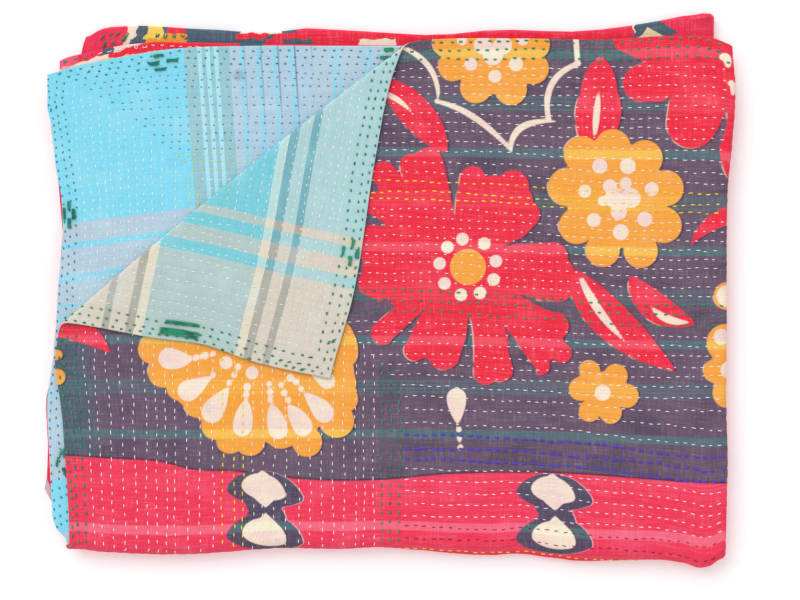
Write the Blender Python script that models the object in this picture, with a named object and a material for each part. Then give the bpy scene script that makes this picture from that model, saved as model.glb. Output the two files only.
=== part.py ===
"""A quilted throw of two cottons, a printed face and a checked back, folded three times and laid flat.

Units are metres, +Z is up and the throw rests on Z = 0. The sheet starts flat, printed face down. It is
folded end over end, then side to side, then end over end again, which leaves eight layers. The hems of
the four upper layers meet at the far left corner, where the corner of the top layer is turned back.
"""

from collections import namedtuple

import bmesh
import bpy
import numpy as np

# The cloth
PLY = 0.001
PLY_GAP = 0.00035
QUILT = 2 * PLY + PLY_GAP
LAYER_GAP = 0.001
PITCH = QUILT + LAYER_GAP
LAYERS = 8

# The folded stack, measured from its middle: where its hems lie and where its folds begin to turn
LEFT_HEM = -0.380
FAR_HEM = 0.290
RIGHT_FOLD = 0.3665
FAR_FOLD = 0.300
NEAR_FOLD = -0.2715

# How finely each panel and each turn is cut
PANEL_COLUMNS = 10
PANEL_ROWS = 9
SNAP = 0.0002

# The turned-back corner: the ends of its slanting fold, its roll and how far it bows towards the corner
CORNER_FOLD_FAR = (0.000, 0.2825)
CORNER_FOLD_NEAR = (-0.384, -0.0295)
CORNER_ROLL = 0.0015
CORNER_BOW = 0.005
CORNER_SETTLE = 0.0018
CORNER_SETTLE_OVER = 0.10
CORNER_STEPS = 5

# How far a hem or fold that lies out of line draws the cloth with it
EDGE_REACH = 0.20

# The near fold leans out under its top layers between two places, fading between two shares of the height
LIP_FROM = -0.03
LIP_TO = 0.31
LIP_OUT = 0.006
LIP_REACH = 0.03
LIP_FULL_BELOW = 0.29
LIP_NONE_ABOVE = 0.71

Fold = namedtuple("Fold", "axis at way slab steps")
Edge = namedtuple("Edge", "side first_layer last_layer knots")
Knot = namedtuple("Knot", "along at")

# Each fold turns the whole slab of cloth, of this thickness, over the side that it names
FOLDS = (
    Fold(axis=1, at=FAR_FOLD, way=1, slab=QUILT, steps=4),
    Fold(axis=0, at=RIGHT_FOLD, way=1, slab=QUILT + PITCH, steps=5),
    Fold(axis=1, at=NEAR_FOLD, way=-1, slab=QUILT + 3 * PITCH, steps=6),
)

# Where each edge really runs, layer 1 being the top one: a place along the edge and where it lies there
EDGES = (
    Edge("left", 1, 1, (
        Knot(-0.270, -0.372), Knot(-0.176, -0.377), Knot(-0.115, -0.382), Knot(-0.080, -0.388),
        Knot(-0.012, -0.381), Knot(0.090, -0.378), Knot(0.136, -0.374), Knot(0.200, -0.381),
        Knot(0.285, -0.382),
    )),
    Edge("left", 2, 2, (
        Knot(-0.270, -0.376), Knot(-0.257, -0.390), Knot(-0.246, -0.3915), Knot(-0.228, -0.3925),
        Knot(-0.177, -0.395), Knot(-0.110, -0.397), Knot(-0.058, -0.390), Knot(0.021, -0.385),
        Knot(0.079, -0.380), Knot(0.120, -0.382), Knot(0.154, -0.388), Knot(0.190, -0.3912),
        Knot(0.217, -0.3940), Knot(0.235, -0.3975), Knot(0.252, -0.3975),
    )),
    Edge("left", 3, 3, (
        Knot(-0.270, -0.376), Knot(-0.229, -0.392), Knot(-0.219, -0.4005), Knot(-0.207, -0.399),
        Knot(-0.170, -0.397), Knot(-0.146, -0.398), Knot(-0.110, -0.399), Knot(-0.087, -0.393),
        Knot(0.030, -0.379), Knot(0.150, -0.386), Knot(0.290, -0.384),
    )),
    Edge("left", 4, 4, (Knot(-0.270, -0.374), Knot(0.000, -0.380), Knot(0.280, -0.378))),
    Edge("left", 5, 8, (
        Knot(-0.270, -0.370), Knot(-0.100, -0.362), Knot(0.200, -0.359), Knot(0.270, -0.362),
        Knot(0.290, -0.359), Knot(0.312, -0.353),
    )),
    Edge("far", 1, 1, (
        Knot(-0.380, 0.287), Knot(-0.290, 0.293), Knot(-0.130, 0.287), Knot(-0.040, 0.286),
        Knot(0.040, 0.295), Knot(0.140, 0.296), Knot(0.240, 0.295), Knot(0.303, 0.299), Knot(0.350, 0.297),
        Knot(0.379, 0.287),
    )),
    Edge("far", 2, 2, (
        Knot(-0.400, 0.252), Knot(-0.346, 0.267), Knot(-0.305, 0.276), Knot(-0.258, 0.284),
        Knot(-0.168, 0.288), Knot(-0.080, 0.288), Knot(0.370, 0.288),
    )),
    Edge("far", 3, 3, (
        Knot(-0.386, 0.269), Knot(-0.374, 0.2745), Knot(-0.354, 0.280), Knot(-0.290, 0.292),
        Knot(-0.227, 0.292), Knot(-0.168, 0.291), Knot(0.370, 0.287),
    )),
    Edge("far", 4, 4, (
        Knot(-0.380, 0.262), Knot(-0.300, 0.282), Knot(-0.200, 0.284), Knot(-0.100, 0.284), Knot(0.370, 0.284),
    )),
    Edge("far_fold", 5, 8, (
        Knot(-0.380, 0.3005), Knot(-0.358, 0.3085), Knot(-0.323, 0.3122), Knot(-0.299, 0.3125),
        Knot(-0.243, 0.3095), Knot(-0.190, 0.3068), Knot(-0.160, 0.3045), Knot(-0.138, 0.3055),
        Knot(-0.120, 0.3085), Knot(-0.060, 0.3075), Knot(-0.020, 0.3050), Knot(0.030, 0.3018),
        Knot(0.075, 0.3040), Knot(0.110, 0.3080), Knot(0.150, 0.3070), Knot(0.205, 0.3060),
        Knot(0.268, 0.3125), Knot(0.346, 0.3255), Knot(0.362, 0.3275), Knot(0.374, 0.3245),
    )),
    Edge("right", 1, 4, (
        Knot(-0.270, 0.372), Knot(-0.180, 0.374), Knot(-0.115, 0.3725), Knot(-0.020, 0.373),
        Knot(0.060, 0.373), Knot(0.105, 0.3735), Knot(0.130, 0.3745), Knot(0.180, 0.3795),
        Knot(0.246, 0.383), Knot(0.285, 0.380),
    )),
    Edge("right", 5, 8, (
        Knot(-0.270, 0.372), Knot(0.100, 0.368), Knot(0.270, 0.360), Knot(0.320, 0.3605),
    )),
    Edge("near", 1, 8, (
        Knot(-0.366, -0.2835), Knot(-0.345, -0.286), Knot(-0.320, -0.2875), Knot(-0.250, -0.2895),
        Knot(-0.205, -0.2875), Knot(-0.175, -0.2850), Knot(-0.140, -0.2825), Knot(-0.055, -0.2830),
        Knot(-0.032, -0.2815), Knot(0.020, -0.2825), Knot(0.076, -0.2855), Knot(0.105, -0.2860),
        Knot(0.135, -0.2840), Knot(0.172, -0.2885), Knot(0.200, -0.2925), Knot(0.260, -0.2945),
        Knot(0.305, -0.2960), Knot(0.327, -0.2995), Knot(0.343, -0.3045), Knot(0.356, -0.3020),
        Knot(0.368, -0.2945),
    )),
)

# Gentle lumps in the height of the stack: how high, how many to the metre each way, and where they start
Lump = namedtuple("Lump", "height across along start")
LUMPS = (Lump(0.020, 1.3, 0.7, 0.4), Lump(0.015, -0.9, 2.1, 1.9), Lump(0.010, 3.2, 2.6, 0.0))


def turn_radius(slab):
    """The outer radius of a turn, whose axis lies half a gap above the slab."""
    return slab + LAYER_GAP / 2


def stack_height():
    return LAYERS * PITCH - LAYER_GAP


def smooth_curve(knots, along):
    """A smooth curve through an edge's knots, level beyond its ends."""
    x = np.array([k.along for k in knots])
    y = np.array([k.at for k in knots])
    slope = np.gradient(y, x)
    slope[[0, -1]] = 0
    along = np.clip(along, x[0], x[-1])
    i = np.clip(np.searchsorted(x, along) - 1, 0, len(x) - 2)
    width = x[i + 1] - x[i]
    t = (along - x[i]) / width
    rise = (3 - 2 * t) * t * t
    return (
        y[i] * (1 - rise)
        + y[i + 1] * rise
        + width * t * (1 - t) * (slope[i] * (1 - t) - slope[i + 1] * t)
    )


def ease(t):
    t = np.clip(t, 0, 1)
    return t * t * (3 - 2 * t)


def bend(points, start, way, floor, slab, gap):
    """Turns what lies past a line over onto the rest, round an axis above a slab that rests at floor."""
    way = np.array(way)
    past = (points[:, :2] - start) @ way
    axis = floor + slab + gap / 2
    radius = axis - points[:, 2]
    outer = slab + gap / 2
    angle = np.clip(past / outer, 0, np.pi)
    flat_run = np.maximum(past - np.pi * outer, 0)
    across = np.where(past > 0, radius * np.sin(angle) - flat_run, past)
    height = np.where(past > 0, axis - radius * np.cos(angle), points[:, 2])
    bent = points.copy()
    bent[:, :2] += np.outer(across - past, way)
    bent[:, 2] = height
    return bent


def layer_share(z, first, last):
    """How much of the layers first to last there is at a height: 1 in them, ramping in the gaps beside."""
    depth = (stack_height() + LAYER_GAP / 2 - z) / PITCH
    above = np.ones_like(z) if first == 1 else np.clip(0.5 + (depth - first + 1) * PITCH / LAYER_GAP, 0, 1)
    below = np.ones_like(z) if last == LAYERS else np.clip(0.5 + (last - depth) * PITCH / LAYER_GAP, 0, 1)
    return above * below


# The straight line that each side's edges start from, across which axis, and the way inwards from it
SIDES = {
    "left": (0, LEFT_HEM, 1),
    "right": (0, RIGHT_FOLD + turn_radius(QUILT + PITCH), -1),
    "far": (1, FAR_HEM, -1),
    "far_fold": (1, FAR_FOLD + turn_radius(QUILT), -1),
    "near": (1, NEAR_FOLD - turn_radius(QUILT + 3 * PITCH), 1),
}


def lay_edges(points):
    """Moves every hem and fold to where it really runs, drawing the cloth beside it along."""
    moved = points.copy()
    for edge in EDGES:
        axis, line, inward = SIDES[edge.side]
        inside = np.maximum((points[:, axis] - line) * inward, 0)
        pull = np.clip(1 - inside / EDGE_REACH, 0, 1) ** 2
        shift = smooth_curve(edge.knots, points[:, 1 - axis]) - line
        moved[:, axis] += shift * pull * layer_share(points[:, 2], edge.first_layer, edge.last_layer)
    run = (points[:, 0] - LIP_FROM) / (LIP_TO - LIP_FROM)
    height_share = points[:, 2] / stack_height()
    low = ease((LIP_NONE_ABOVE - height_share) / (LIP_NONE_ABOVE - LIP_FULL_BELOW))
    near = np.clip(1 - (points[:, 1] - SIDES["near"][1]) / LIP_REACH, 0, 1)
    moved[:, 1] -= LIP_OUT * np.sin(np.pi * np.clip(run, 0, 1)) * low * near
    return moved


def corner_frame():
    """The start of the corner's slanting fold, the way along it and the way across it, to the corner."""
    far, near = np.array(CORNER_FOLD_FAR), np.array(CORNER_FOLD_NEAR)
    along = (near - far) / np.linalg.norm(near - far)
    across = np.array((along[1], -along[0]))
    return far - across * (QUILT + CORNER_ROLL), along, across


def turn_corner(points):
    """Turns the top layer's corner back, bows its fold and lets the turned part settle on the cloth."""
    start, along, across = corner_frame()
    top = points[:, 2] > stack_height() - QUILT - LAYER_GAP / 2
    floor = stack_height() - QUILT
    turned = points.copy()
    turned[top] = bend(points[top], start, across, floor, QUILT, 2 * CORNER_ROLL)
    length = np.linalg.norm(np.subtract(CORNER_FOLD_NEAR, CORNER_FOLD_FAR))
    share = np.clip((turned[:, :2] - start) @ along / length, 0, 1)
    away = (turned[:, :2] - start) @ across
    bow = 4 * CORNER_BOW * share * (1 - share) * np.clip(1 - np.abs(away) / EDGE_REACH, 0, 1) ** 2
    turned[:, :2] += np.outer(bow * top, across)
    loose = turned[:, 2] > stack_height() + CORNER_ROLL
    turned[:, 2] -= loose * CORNER_SETTLE * ease(-away / CORNER_SETTLE_OVER)
    return turned


def settle(points):
    """Lets the height of the stack rise and fall a little, from its flat underside up."""
    settled = points.copy()
    for lump in LUMPS:
        turns = lump.across * points[:, 0] + lump.along * points[:, 1]
        settled[:, 2] += points[:, 2] * lump.height * (1 + np.sin(2 * np.pi * turns + lump.start))
    return settled


def cut(mesh, normal, places, above=None):
    """Adds a row of edges at each place along a direction, on the faces above a height if one is given."""
    for place in places:
        faces = [f for f in mesh.faces if above is None or min(v.co.z for v in f.verts) > above]
        parts = list({e for f in faces for e in f.edges}) + list({v for f in faces for v in f.verts})
        bmesh.ops.bisect_plane(
            mesh,
            geom=faces + parts,
            dist=SNAP,
            plane_co=[place * n for n in normal],
            plane_no=normal,
        )


def panel_lines(first, last, count):
    return list(np.linspace(first, last, count + 1))


def move(mesh, function, *settings):
    points = np.array([v.co for v in mesh.verts])
    for vert, point in zip(mesh.verts, function(points, *settings)):
        vert.co = point


def turn_length(fold):
    return np.pi * turn_radius(fold.slab)


def flat_sheet(bottom, top):
    """The flat sheet between two heights, with a row of edges wherever its panels need one."""
    far_turn, side_turn, near_turn = [turn_length(fold) for fold in FOLDS]
    right = 2 * RIGHT_FOLD + side_turn - LEFT_HEM
    near = 2 * NEAR_FOLD - near_turn - FAR_HEM
    far = 2 * FAR_FOLD + far_turn - near
    mesh = bmesh.new()
    bmesh.ops.create_cube(mesh, size=1.0)
    bmesh.ops.scale(mesh, vec=(right - LEFT_HEM, far - near, top - bottom), verts=mesh.verts)
    middle = ((LEFT_HEM + right) / 2, (near + far) / 2, (bottom + top) / 2)
    bmesh.ops.translate(mesh, vec=middle, verts=mesh.verts)
    columns = panel_lines(LEFT_HEM, RIGHT_FOLD, PANEL_COLUMNS)
    columns += panel_lines(RIGHT_FOLD + side_turn, right, PANEL_COLUMNS)
    rows = panel_lines(near, NEAR_FOLD - near_turn, PANEL_ROWS)
    rows += panel_lines(NEAR_FOLD, FAR_FOLD, PANEL_ROWS)
    mirror = 2 * FAR_FOLD + far_turn
    rows += [mirror - row for row in rows]
    cut(mesh, (1, 0, 0), columns[1:-1])
    cut(mesh, (0, 1, 0), sorted(rows)[1:-1])
    return mesh


def fold_sheet(mesh):
    """Cuts the rows of edges that each turn needs, then makes the turn."""
    for fold in FOLDS:
        normal = np.zeros(3)
        normal[fold.axis] = fold.way
        begin = fold.at * fold.way
        places = panel_lines(begin, begin + turn_length(fold), fold.steps)
        cut(mesh, tuple(normal), places)
        move(mesh, bend, normal[:2] * begin, normal[:2], 0.0, fold.slab, LAYER_GAP)


def fold_corner(mesh):
    start, along, across = corner_frame()
    begin = float(start @ across)
    places = panel_lines(begin, begin + np.pi * (QUILT + CORNER_ROLL), CORNER_STEPS)
    cut(mesh, (*across, 0.0), places, stack_height() - QUILT - LAYER_GAP / 2)
    move(mesh, turn_corner)


def make_ply(name, bottom, material):
    """One cloth of the quilt, a slab whose underside starts at bottom, folded with the whole sheet."""
    mesh = flat_sheet(bottom, bottom + PLY)
    fold_sheet(mesh)
    move(mesh, lay_edges)
    fold_corner(mesh)
    move(mesh, settle)
    bmesh.ops.triangulate(mesh, faces=mesh.faces)
    data = bpy.data.meshes.new(name)
    mesh.to_mesh(data)
    mesh.free()
    data.materials.append(material)
    data.shade_smooth()
    data.set_sharp_from_angle(angle=np.radians(50))
    return bpy.data.objects.new(name, data)


def cotton(name, colour):
    material = bpy.data.materials.new(name)
    material.use_nodes = True
    shader = material.node_tree.nodes["Principled BSDF"]
    shader.inputs["Base Color"].default_value = (*colour, 1.0)
    shader.inputs["Roughness"].default_value = 0.9
    shader.inputs["Metallic"].default_value = 0.0
    return material


def centre_on_base(objects):
    """Puts the middle of the throw's box over the origin and its underside on Z = 0."""
    corners = np.array([v.co for o in objects for v in o.data.vertices])
    low, high = corners.min(axis=0), corners.max(axis=0)
    for thing in objects:
        for vert in thing.data.vertices:
            vert.co.x -= (low[0] + high[0]) / 2
            vert.co.y -= (low[1] + high[1]) / 2
            vert.co.z -= low[2]


def clear_scene():
    for thing in list(bpy.data.objects):
        bpy.data.objects.remove(thing, do_unlink=True)


def main():
    clear_scene()
    throw = bpy.data.collections.new("throw_blanket")
    bpy.context.scene.collection.children.link(throw)
    plies = [
        make_ply("printed_face", 0.0, cotton("printed_cotton", (0.62, 0.06, 0.12))),
        make_ply("checked_back", PLY + PLY_GAP, cotton("checked_cotton", (0.36, 0.66, 0.74))),
    ]
    centre_on_base(plies)
    for ply in plies:
        throw.objects.link(ply)


main()
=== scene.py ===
"""A quilted throw of printed and checked cotton, folded to eight layers with one corner turned back.

Lengths are metres in the frame of the CAD. The print, the checks and the sewing are charted in steps of
the pattern chart, counted across from the left and down from the far side, over the folded throw.
"""

from collections import namedtuple

import bpy
import numpy as np
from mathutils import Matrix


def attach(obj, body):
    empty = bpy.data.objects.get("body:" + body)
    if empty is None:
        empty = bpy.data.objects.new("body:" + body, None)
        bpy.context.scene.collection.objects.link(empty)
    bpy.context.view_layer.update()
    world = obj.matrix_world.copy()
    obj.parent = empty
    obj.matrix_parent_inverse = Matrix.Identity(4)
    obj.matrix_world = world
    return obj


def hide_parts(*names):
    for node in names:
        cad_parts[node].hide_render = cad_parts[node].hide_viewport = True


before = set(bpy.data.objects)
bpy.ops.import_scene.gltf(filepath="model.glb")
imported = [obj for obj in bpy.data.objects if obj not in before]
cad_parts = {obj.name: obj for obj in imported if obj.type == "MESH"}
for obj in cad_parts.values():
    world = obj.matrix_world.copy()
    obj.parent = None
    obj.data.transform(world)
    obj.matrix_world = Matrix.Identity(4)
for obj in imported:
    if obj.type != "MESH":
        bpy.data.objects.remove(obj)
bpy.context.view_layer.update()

# The cloth, as it is in the CAD
PLY = 0.001
PLY_GAP = 0.00035
QUILT = 2 * PLY + PLY_GAP
LAYER_GAP = 0.001
PITCH = QUILT + LAYER_GAP
LAYERS = 8

# The folded stack: where its hems lie and where its folds begin to turn
LEFT_HEM = -0.380
FAR_HEM = 0.290
RIGHT_FOLD = 0.3665
FAR_FOLD = 0.300
NEAR_FOLD = -0.2715
# The middle of the layout's box, which the CAD puts at the origin, as measured on its built solids
LAYOUT_MIDDLE = (-0.00841541, 0.01514003)

# The turned-back corner
CORNER_FOLD_FAR = (0.000, 0.2825)
CORNER_FOLD_NEAR = (-0.384, -0.0295)
CORNER_ROLL = 0.0015
CORNER_BOW = 0.005
CORNER_SETTLE = 0.0018
CORNER_SETTLE_OVER = 0.10

# How far a hem that lies out of line draws the cloth with it, and how the near fold leans out
EDGE_REACH = 0.20
LIP_FROM = -0.03
LIP_TO = 0.31
LIP_OUT = 0.006
LIP_REACH = 0.03
LIP_FULL_BELOW = 0.29
LIP_NONE_ABOVE = 0.71

Fold = namedtuple("Fold", "axis at way slab")
Edge = namedtuple("Edge", "side first_layer last_layer knots")
Knot = namedtuple("Knot", "along at")
Lump = namedtuple("Lump", "height across along start")

FOLDS = (
    Fold(axis=1, at=FAR_FOLD, way=1, slab=QUILT),
    Fold(axis=0, at=RIGHT_FOLD, way=1, slab=QUILT + PITCH),
    Fold(axis=1, at=NEAR_FOLD, way=-1, slab=QUILT + 3 * PITCH),
)

# Where each edge really runs, layer 1 being the top one: a place along the edge and where it lies there
EDGES = (
    Edge("left", 1, 1, (
        Knot(-0.270, -0.372), Knot(-0.176, -0.377), Knot(-0.115, -0.382), Knot(-0.080, -0.388),
        Knot(-0.012, -0.381), Knot(0.090, -0.378), Knot(0.136, -0.374), Knot(0.200, -0.381),
        Knot(0.285, -0.382),
    )),
    Edge("left", 2, 2, (
        Knot(-0.270, -0.376), Knot(-0.257, -0.390), Knot(-0.246, -0.3915), Knot(-0.228, -0.3925),
        Knot(-0.177, -0.395), Knot(-0.110, -0.397), Knot(-0.058, -0.390), Knot(0.021, -0.385),
        Knot(0.079, -0.380), Knot(0.120, -0.382), Knot(0.154, -0.388), Knot(0.190, -0.3912),
        Knot(0.217, -0.3940), Knot(0.235, -0.3975), Knot(0.252, -0.3975),
    )),
    Edge("left", 3, 3, (
        Knot(-0.270, -0.376), Knot(-0.229, -0.392), Knot(-0.219, -0.4005), Knot(-0.207, -0.399),
        Knot(-0.170, -0.397), Knot(-0.146, -0.398), Knot(-0.110, -0.399), Knot(-0.087, -0.393),
        Knot(0.030, -0.379), Knot(0.150, -0.386), Knot(0.290, -0.384),
    )),
    Edge("left", 4, 4, (Knot(-0.270, -0.374), Knot(0.000, -0.380), Knot(0.280, -0.378))),
    Edge("left", 5, 8, (
        Knot(-0.270, -0.370), Knot(-0.100, -0.362), Knot(0.200, -0.359), Knot(0.270, -0.362),
        Knot(0.290, -0.359), Knot(0.312, -0.353),
    )),
    Edge("far", 1, 1, (
        Knot(-0.380, 0.287), Knot(-0.290, 0.293), Knot(-0.130, 0.287), Knot(-0.040, 0.286),
        Knot(0.040, 0.295), Knot(0.140, 0.296), Knot(0.240, 0.295), Knot(0.303, 0.299), Knot(0.350, 0.297),
        Knot(0.379, 0.287),
    )),
    Edge("far", 2, 2, (
        Knot(-0.400, 0.252), Knot(-0.346, 0.267), Knot(-0.305, 0.276), Knot(-0.258, 0.284),
        Knot(-0.168, 0.288), Knot(-0.080, 0.288), Knot(0.370, 0.288),
    )),
    Edge("far", 3, 3, (
        Knot(-0.386, 0.269), Knot(-0.374, 0.2745), Knot(-0.354, 0.280), Knot(-0.290, 0.292),
        Knot(-0.227, 0.292), Knot(-0.168, 0.291), Knot(0.370, 0.287),
    )),
    Edge("far", 4, 4, (
        Knot(-0.380, 0.262), Knot(-0.300, 0.282), Knot(-0.200, 0.284), Knot(-0.100, 0.284),
        Knot(0.370, 0.284),
    )),
    Edge("far_fold", 5, 8, (
        Knot(-0.380, 0.3005), Knot(-0.358, 0.3085), Knot(-0.323, 0.3122), Knot(-0.299, 0.3125),
        Knot(-0.243, 0.3095), Knot(-0.190, 0.3068), Knot(-0.160, 0.3045), Knot(-0.138, 0.3055),
        Knot(-0.120, 0.3085), Knot(-0.060, 0.3075), Knot(-0.020, 0.3050), Knot(0.030, 0.3018),
        Knot(0.075, 0.3040), Knot(0.110, 0.3080), Knot(0.150, 0.3070), Knot(0.205, 0.3060),
        Knot(0.268, 0.3125), Knot(0.346, 0.3255), Knot(0.362, 0.3275), Knot(0.374, 0.3245),
    )),
    Edge("right", 1, 4, (
        Knot(-0.270, 0.372), Knot(-0.180, 0.374), Knot(-0.115, 0.3725), Knot(-0.020, 0.373),
        Knot(0.060, 0.373), Knot(0.105, 0.3735), Knot(0.130, 0.3745), Knot(0.180, 0.3795),
        Knot(0.246, 0.383), Knot(0.285, 0.380),
    )),
    Edge("right", 5, 8, (
        Knot(-0.270, 0.372), Knot(0.100, 0.368), Knot(0.270, 0.360), Knot(0.320, 0.3605),
    )),
    Edge("near", 1, 8, (
        Knot(-0.366, -0.2835), Knot(-0.345, -0.286), Knot(-0.320, -0.2875), Knot(-0.250, -0.2895),
        Knot(-0.205, -0.2875), Knot(-0.175, -0.2850), Knot(-0.140, -0.2825), Knot(-0.055, -0.2830),
        Knot(-0.032, -0.2815), Knot(0.020, -0.2825), Knot(0.076, -0.2855), Knot(0.105, -0.2860),
        Knot(0.135, -0.2840), Knot(0.172, -0.2885), Knot(0.200, -0.2925), Knot(0.260, -0.2945),
        Knot(0.305, -0.2960), Knot(0.327, -0.2995), Knot(0.343, -0.3045), Knot(0.356, -0.3020),
        Knot(0.368, -0.2945),
    )),
)

LUMPS = (Lump(0.020, 1.3, 0.7, 0.4), Lump(0.015, -0.9, 2.1, 1.9), Lump(0.010, 3.2, 2.6, 0.0))


def turn_radius(slab):
    """The outer radius of a turn, whose axis lies half a gap above the slab."""
    return slab + LAYER_GAP / 2


def stack_height():
    return LAYERS * PITCH - LAYER_GAP


def smooth_curve(knots, along):
    """A smooth curve through an edge's knots, level beyond its ends."""
    x = np.array([k.along for k in knots])
    y = np.array([k.at for k in knots])
    slope = np.gradient(y, x)
    slope[[0, -1]] = 0
    along = np.clip(along, x[0], x[-1])
    i = np.clip(np.searchsorted(x, along) - 1, 0, len(x) - 2)
    width = x[i + 1] - x[i]
    t = (along - x[i]) / width
    rise = (3 - 2 * t) * t * t
    return (
        y[i] * (1 - rise)
        + y[i + 1] * rise
        + width * t * (1 - t) * (slope[i] * (1 - t) - slope[i + 1] * t)
    )


def ease(t):
    t = np.clip(t, 0, 1)
    return t * t * (3 - 2 * t)


def bend(points, start, way, floor, slab, gap):
    """Turns what lies past a line over onto the rest, round an axis above a slab that rests at floor."""
    past = (points[:, :2] - start) @ way
    axis = floor + slab + gap / 2
    radius = axis - points[:, 2]
    outer = slab + gap / 2
    angle = np.clip(past / outer, 0, np.pi)
    flat_run = np.maximum(past - np.pi * outer, 0)
    across = np.where(past > 0, radius * np.sin(angle) - flat_run, past)
    height = np.where(past > 0, axis - radius * np.cos(angle), points[:, 2])
    bent = points.copy()
    bent[:, :2] += np.outer(across - past, way)
    bent[:, 2] = height
    return bent


def layer_share(z, first, last):
    """How much of the layers first to last there is at a height: 1 in them, ramping in the gaps beside."""
    depth = (stack_height() + LAYER_GAP / 2 - z) / PITCH
    above = np.ones_like(z) if first == 1 else np.clip(0.5 + (depth - first + 1) * PITCH / LAYER_GAP, 0, 1)
    below = np.ones_like(z) if last == LAYERS else np.clip(0.5 + (last - depth) * PITCH / LAYER_GAP, 0, 1)
    return above * below


# The straight line that each side's edges start from, across which axis, and the way inwards from it
SIDES = {
    "left": (0, LEFT_HEM, 1),
    "right": (0, RIGHT_FOLD + turn_radius(QUILT + PITCH), -1),
    "far": (1, FAR_HEM, -1),
    "far_fold": (1, FAR_FOLD + turn_radius(QUILT), -1),
    "near": (1, NEAR_FOLD - turn_radius(QUILT + 3 * PITCH), 1),
}


def lay_edges(points):
    """Moves every hem and fold to where it really runs, drawing the cloth beside it along."""
    moved = points.copy()
    for edge in EDGES:
        axis, line, inward = SIDES[edge.side]
        inside = np.maximum((points[:, axis] - line) * inward, 0)
        pull = np.clip(1 - inside / EDGE_REACH, 0, 1) ** 2
        shift = smooth_curve(edge.knots, points[:, 1 - axis]) - line
        moved[:, axis] += shift * pull * layer_share(points[:, 2], edge.first_layer, edge.last_layer)
    run = (points[:, 0] - LIP_FROM) / (LIP_TO - LIP_FROM)
    height_share = points[:, 2] / stack_height()
    low = ease((LIP_NONE_ABOVE - height_share) / (LIP_NONE_ABOVE - LIP_FULL_BELOW))
    near = np.clip(1 - (points[:, 1] - SIDES["near"][1]) / LIP_REACH, 0, 1)
    moved[:, 1] -= LIP_OUT * np.sin(np.pi * np.clip(run, 0, 1)) * low * near
    return moved


def corner_frame():
    """The start of the corner's slanting fold, the way along it and the way across it, to the corner."""
    far, near = np.array(CORNER_FOLD_FAR), np.array(CORNER_FOLD_NEAR)
    along = (near - far) / np.linalg.norm(near - far)
    across = np.array((along[1], -along[0]))
    return far - across * (QUILT + CORNER_ROLL), along, across


def turn_corner(points):
    """Turns the top layer's corner back, bows its fold and lets the turned part settle on the cloth."""
    start, along, across = corner_frame()
    top = points[:, 2] > stack_height() - QUILT - LAYER_GAP / 2
    floor = stack_height() - QUILT
    turned = points.copy()
    turned[top] = bend(points[top], start, across, floor, QUILT, 2 * CORNER_ROLL)
    length = np.linalg.norm(np.subtract(CORNER_FOLD_NEAR, CORNER_FOLD_FAR))
    share = np.clip((turned[:, :2] - start) @ along / length, 0, 1)
    away = (turned[:, :2] - start) @ across
    bow = 4 * CORNER_BOW * share * (1 - share) * np.clip(1 - np.abs(away) / EDGE_REACH, 0, 1) ** 2
    turned[:, :2] += np.outer(bow * top, across)
    loose = turned[:, 2] > stack_height() + CORNER_ROLL
    turned[:, 2] -= loose * CORNER_SETTLE * ease(-away / CORNER_SETTLE_OVER)
    return turned


def settle(points):
    """Lets the height of the stack rise and fall a little, from its flat underside up."""
    settled = points.copy()
    for lump in LUMPS:
        turns = lump.across * points[:, 0] + lump.along * points[:, 1]
        settled[:, 2] += points[:, 2] * lump.height * (1 + np.sin(2 * np.pi * turns + lump.start))
    return settled


def fold_in_three(points):
    """Folds the flat sheet three times and lays its edges, before the corner is turned back."""
    for fold in FOLDS:
        way = np.zeros(2)
        way[fold.axis] = fold.way
        points = bend(points, way * fold.at * fold.way, way, 0.0, fold.slab, LAYER_GAP)
    return lay_edges(points)


def fold_all(points):
    """The place of points of the flat sheet in the finished throw."""
    placed = settle(turn_corner(fold_in_three(points)))
    placed[:, :2] -= LAYOUT_MIDDLE
    placed[:, 2] = np.maximum(placed[:, 2], ON_THE_FLOOR)
    return placed


# The flat sheet's ends, and the runs of it that each turn takes
ON_THE_FLOOR = 0.0002
FAR_TURN, SIDE_TURN, NEAR_TURN = [np.pi * turn_radius(fold.slab) for fold in FOLDS]
RIGHT_HEM = 2 * RIGHT_FOLD + SIDE_TURN - LEFT_HEM
TOP_END = 2 * NEAR_FOLD - NEAR_TURN - FAR_HEM
TOP_PANEL = NEAR_FOLD - NEAR_TURN
TOP_SHOWS_TO = NEAR_FOLD - NEAR_TURN * 0.55
MIRROR = 2 * FAR_FOLD + FAR_TURN
SECOND_END = MIRROR - TOP_END
SECOND_PANEL = MIRROR - TOP_PANEL
FLAT_SIZE = (RIGHT_HEM - LEFT_HEM, SECOND_END - TOP_END)

# The pattern chart: metres to a step, steps to the cloth's map, and where the layout's middle is on it
STEP = 0.00113
MAP_STEPS = 1000
CHART_ACROSS = 398
CHART_DOWN = 300


def on_chart(laid):
    """Steps across and down the chart of points that are laid but for the turned corner."""
    return CHART_ACROSS + laid[:, 0] / STEP, CHART_DOWN - laid[:, 1] / STEP


# The rows of sewing

Rows = namedtuple("Rows", "thread distances")

# Rows of running stitch on the top layer, by their distance from the left hem in steps of the chart
TOP_SIDE_ROWS = (
    Rows("green", (3.4, 9.5, 17.8)),
    Rows("white", (26.7, 36.5, 47.8, 60, 72, 84, 94, 103.8, 112.6, 125, 137.6, 151)),
    Rows("yellow", (160.8, 172, 181)),
    Rows("white", (191, 201, 212, 224, 237, 248, 260, 271, 282, 294, 302, 312)),
    Rows("green", (320, 329, 338)),
)
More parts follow.
